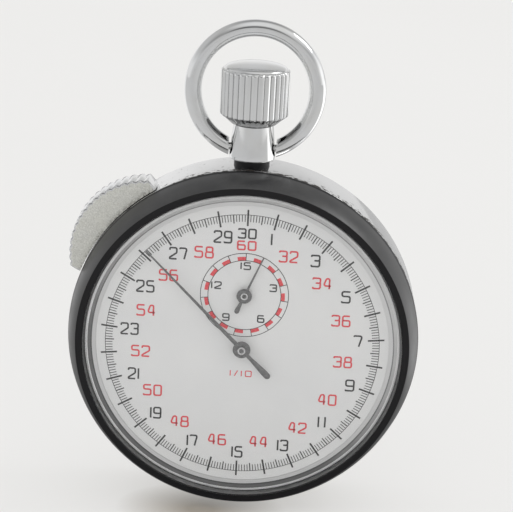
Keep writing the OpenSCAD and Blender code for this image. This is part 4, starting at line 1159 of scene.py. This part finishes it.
# the floor as the camera sees it: lit tone and a little glow that keeps shadows soft
FLOOR_TONE = 0.25
FLOOR_GLOW = 0.51
FLOOR_TINT = (0.99, 1, 1.02)
FLOOR_SIZE = 3.0
FLOOR_GAP = 0.0002
# the warm shadow under the case: its middle, colour, glow and where it starts and ends
SHADOW_AT = Vector((-0.005, -0.013, 0))
SHADOW_COLOUR = (0.18, 0.14, 0.09, 1)
SHADOW_GLOW = 0.20
SHADOW_INNER = 0.002
SHADOW_OUTER = 0.013
SHADOW_FLATNESS = 1.5
# the floor as mirrors see it: direction, cosines where it fades in and is full, tone
MIRRORED_FRONT = 0.46
# the floor close to the case as mirrors see it, darker as painted shade
MIRRORED_NEAR = 0.2
MIRRORED_FLOOR = [
    ((0.0, 1.0, 0), 0.2, 0.6, 0.48),       # behind
    ((-1.0, -0.1, 0), 0.3, 0.85, 0.48),    # left side
    ((0.95, 0.33, 0), 0.89, 0.95, 1.1),    # window side
    ((-0.64, 0.77, 0), 0.90, 0.98, 0.75),  # left of behind
]


def mirrored_floor(n):
    """Colour that mirrors see: painted shade near the case, then toned by direction."""
    away = n.vector("NORMALIZE", n.coord)[0]
    colour = grey(MIRRORED_FRONT)
    for direction, start, full, tone in MIRRORED_FLOOR:
        facing = n.vector("DOT_PRODUCT", away, direction)["Value"]
        colour = n.blend(facing, start, full, colour, grey(tone))
    distance = n.vector("LENGTH", n.coord)["Value"]
    return n.blend(distance, 0.03, 0.075, grey(MIRRORED_NEAR), colour)


def build_floor():
    """Large pale floor under the case's lowest point, seen differently by mirrors."""
    n = Nodes("floor_white")
    lit = n.mix(n.noise(0.004, 2), grey(FLOOR_TONE, FLOOR_TINT), grey(FLOOR_TONE + 0.02, FLOOR_TINT))
    stretch = Vector((1.0, SHADOW_FLATNESS, 0.0))
    shift = -SHADOW_AT * stretch
    oval = n.add("ShaderNodeMapping", Vector=n.coord, Location=shift, Scale=stretch).outputs[0]
    beside = n.span(n.vector("LENGTH", oval)["Value"], SHADOW_INNER, SHADOW_OUTER)
    seen = n.mix(beside, SHADOW_COLOUR, lit)
    glossy = n.add("ShaderNodeLightPath").outputs["Is Glossy Ray"]
    glow = n.times(n.span(glossy, 0.0, 1.0, 1.0, 0.0),
                  n.span(beside, 0.0, 1.0, SHADOW_GLOW, FLOOR_GLOW))
    n.finish(Base_Color=n.mix(glossy, seen, mirrored_floor(n)), Roughness=0.6, Specular_IOR_Level=0.2,
             Emission_Color=(1.0, 0.985, 0.95, 1), Emission_Strength=glow,
             Normal=n.bump(n.noise(0.5, 2), 0.01, 0.1))
    mesh = bpy.data.meshes.new("floor")
    height = cad_low.z - FLOOR_GAP
    around = ((-1, -1), (1, -1), (1, 1), (-1, 1))
    mesh.from_pydata([(FLOOR_SIZE * x, FLOOR_SIZE * y, height) for x, y in around], [], [(0, 1, 2, 3)])
    mesh.materials.append(n.material)
    place_object("floor", mesh)


# the surroundings: even light on matt surfaces, a plain tone for the camera, and for
# mirrors a dim room that is brighter near the horizon, between two heights
EVEN_SKY = 1.25
CAMERA_SKY = 0.84
MIRRORED_SKY = 0.32
HORIZON_GAIN = 0.26
HORIZON_BAND = (0.12, 0.42)
# soft patches in the mirrored room: direction, full and faded-out angle, added brightness
PATCHES = [
    ((0.20, -0.50, 1.0), 12, 50, 0.45),   # ceiling
    ((0.0, 1.0, 0.20), 14, 42, 0.30),     # lit backdrop
    ((-1.0, 0.2, 0.3), 25, 65, 0.22),     # lit wall on the left
    ((1.0, 0.2, 0.3), 20, 60, 0.30),      # lit wall on the right
    ((1.0, 0.1, 0.2), 8, 30, 0.30),       # window on the right
    ((0.0, -1.0, 0.42), 3, 20, -0.28),    # dark room behind the camera
]


def build_world():
    """Soft studio surroundings, and plain pale to the camera."""
    world = bpy.data.worlds.new("studio")
    bpy.context.scene.world = world
    world.use_nodes = True
    world.cycles.sampling_method = "NONE"
    tree = world.node_tree
    tree.nodes.clear()

    def add(kind, inputs=(), **props):
        """New node, with its inputs given by number."""
        node = tree.nodes.new(kind)
        for key, value in props.items():
            setattr(node, key, value)
        for index, value in inputs:
            feed(tree, node.inputs[index], value)
        return node.outputs

    def fade(value, start, end, at_start, at_end):
        """Soft step from one value to another."""
        inputs = enumerate((value, start, end, at_start, at_end))
        return add("ShaderNodeMapRange", inputs, interpolation_type="SMOOTHSTEP")[0]

    def choose(factor, a, b):
        """Plain mix of two values."""
        return add("ShaderNodeMix", [(0, factor), (2, a), (3, b)], data_type="FLOAT")[0]

    ray = add("ShaderNodeTexCoord")["Generated"]
    height = add("ShaderNodeSeparateXYZ", [(0, ray)])["Z"]
    mirrored = fade(height, *HORIZON_BAND, MIRRORED_SKY + HORIZON_GAIN, MIRRORED_SKY)
    for direction, full, faded, gain in PATCHES:
        towards = Vector(direction).normalized()
        closeness = add("ShaderNodeVectorMath", [(0, ray), (1, towards)], operation="DOT_PRODUCT")["Value"]
        patch = fade(closeness, math.cos(math.radians(faded)), math.cos(math.radians(full)), 0.0, gain)
        mirrored = add("ShaderNodeMath", [(0, mirrored), (1, patch)], operation="ADD")[0]
    path = add("ShaderNodeLightPath")
    light = choose(path["Is Glossy Ray"], EVEN_SKY, mirrored)
    seen = choose(path["Is Camera Ray"], light, CAMERA_SKY)
    background = add("ShaderNodeBackground", [(0, seen)])[0]
    tree.links.new(background, tree.nodes.new("ShaderNodeOutputWorld").inputs[0])


def build_window():
    """Square area light to the right, turned towards the watch."""
    place = Vector((0.45, 0.05, 0.45))
    data = bpy.data.lights.new("window", "AREA")
    data.size = 0.25
    data.energy = 0.45
    light = place_object("window", data)
    light.location = place
    light.rotation_mode = "QUATERNION"
    light.rotation_quaternion = (-place).to_track_quat("-Z", "Y")


def build_camera():
    """Long lens from a little above, with the watch's top leaning to the right."""
    azimuth, elevation, roll = (math.radians(a) for a in (1.008, 18.07, 2.86))
    distance = 0.2249
    aim = upright((1.473, 14.066, DIAL_Z))
    back = Vector((math.sin(azimuth) * math.cos(elevation), -math.cos(azimuth) * math.cos(elevation),
                   math.sin(elevation)))
    data = bpy.data.cameras.new("camera")
    data.lens = 109.38
    data.sensor_width = 36
    data.clip_start = 0.01
    data.clip_end = 20
    camera = place_object("camera", data)
    camera.location = aim + back * distance
    camera.rotation_mode = "QUATERNION"
    turn = (-back).to_track_quat("-Z", "Y")
    camera.rotation_quaternion = turn @ Matrix.Rotation(roll, 4, "Z").to_quaternion()
    bpy.context.scene.camera = camera


build_band()
build_back()
build_bezel()
build_crystal()
build_reflector()
build_pendant()
build_crown()
build_bow()
build_slide()
build_dial_print()
build_seconds_hand()
build_minute_hand()
dress_cad_nodes()
build_floor()
build_world()
build_window()
build_camera()
bpy.context.scene.view_settings.view_transform = "Standard"
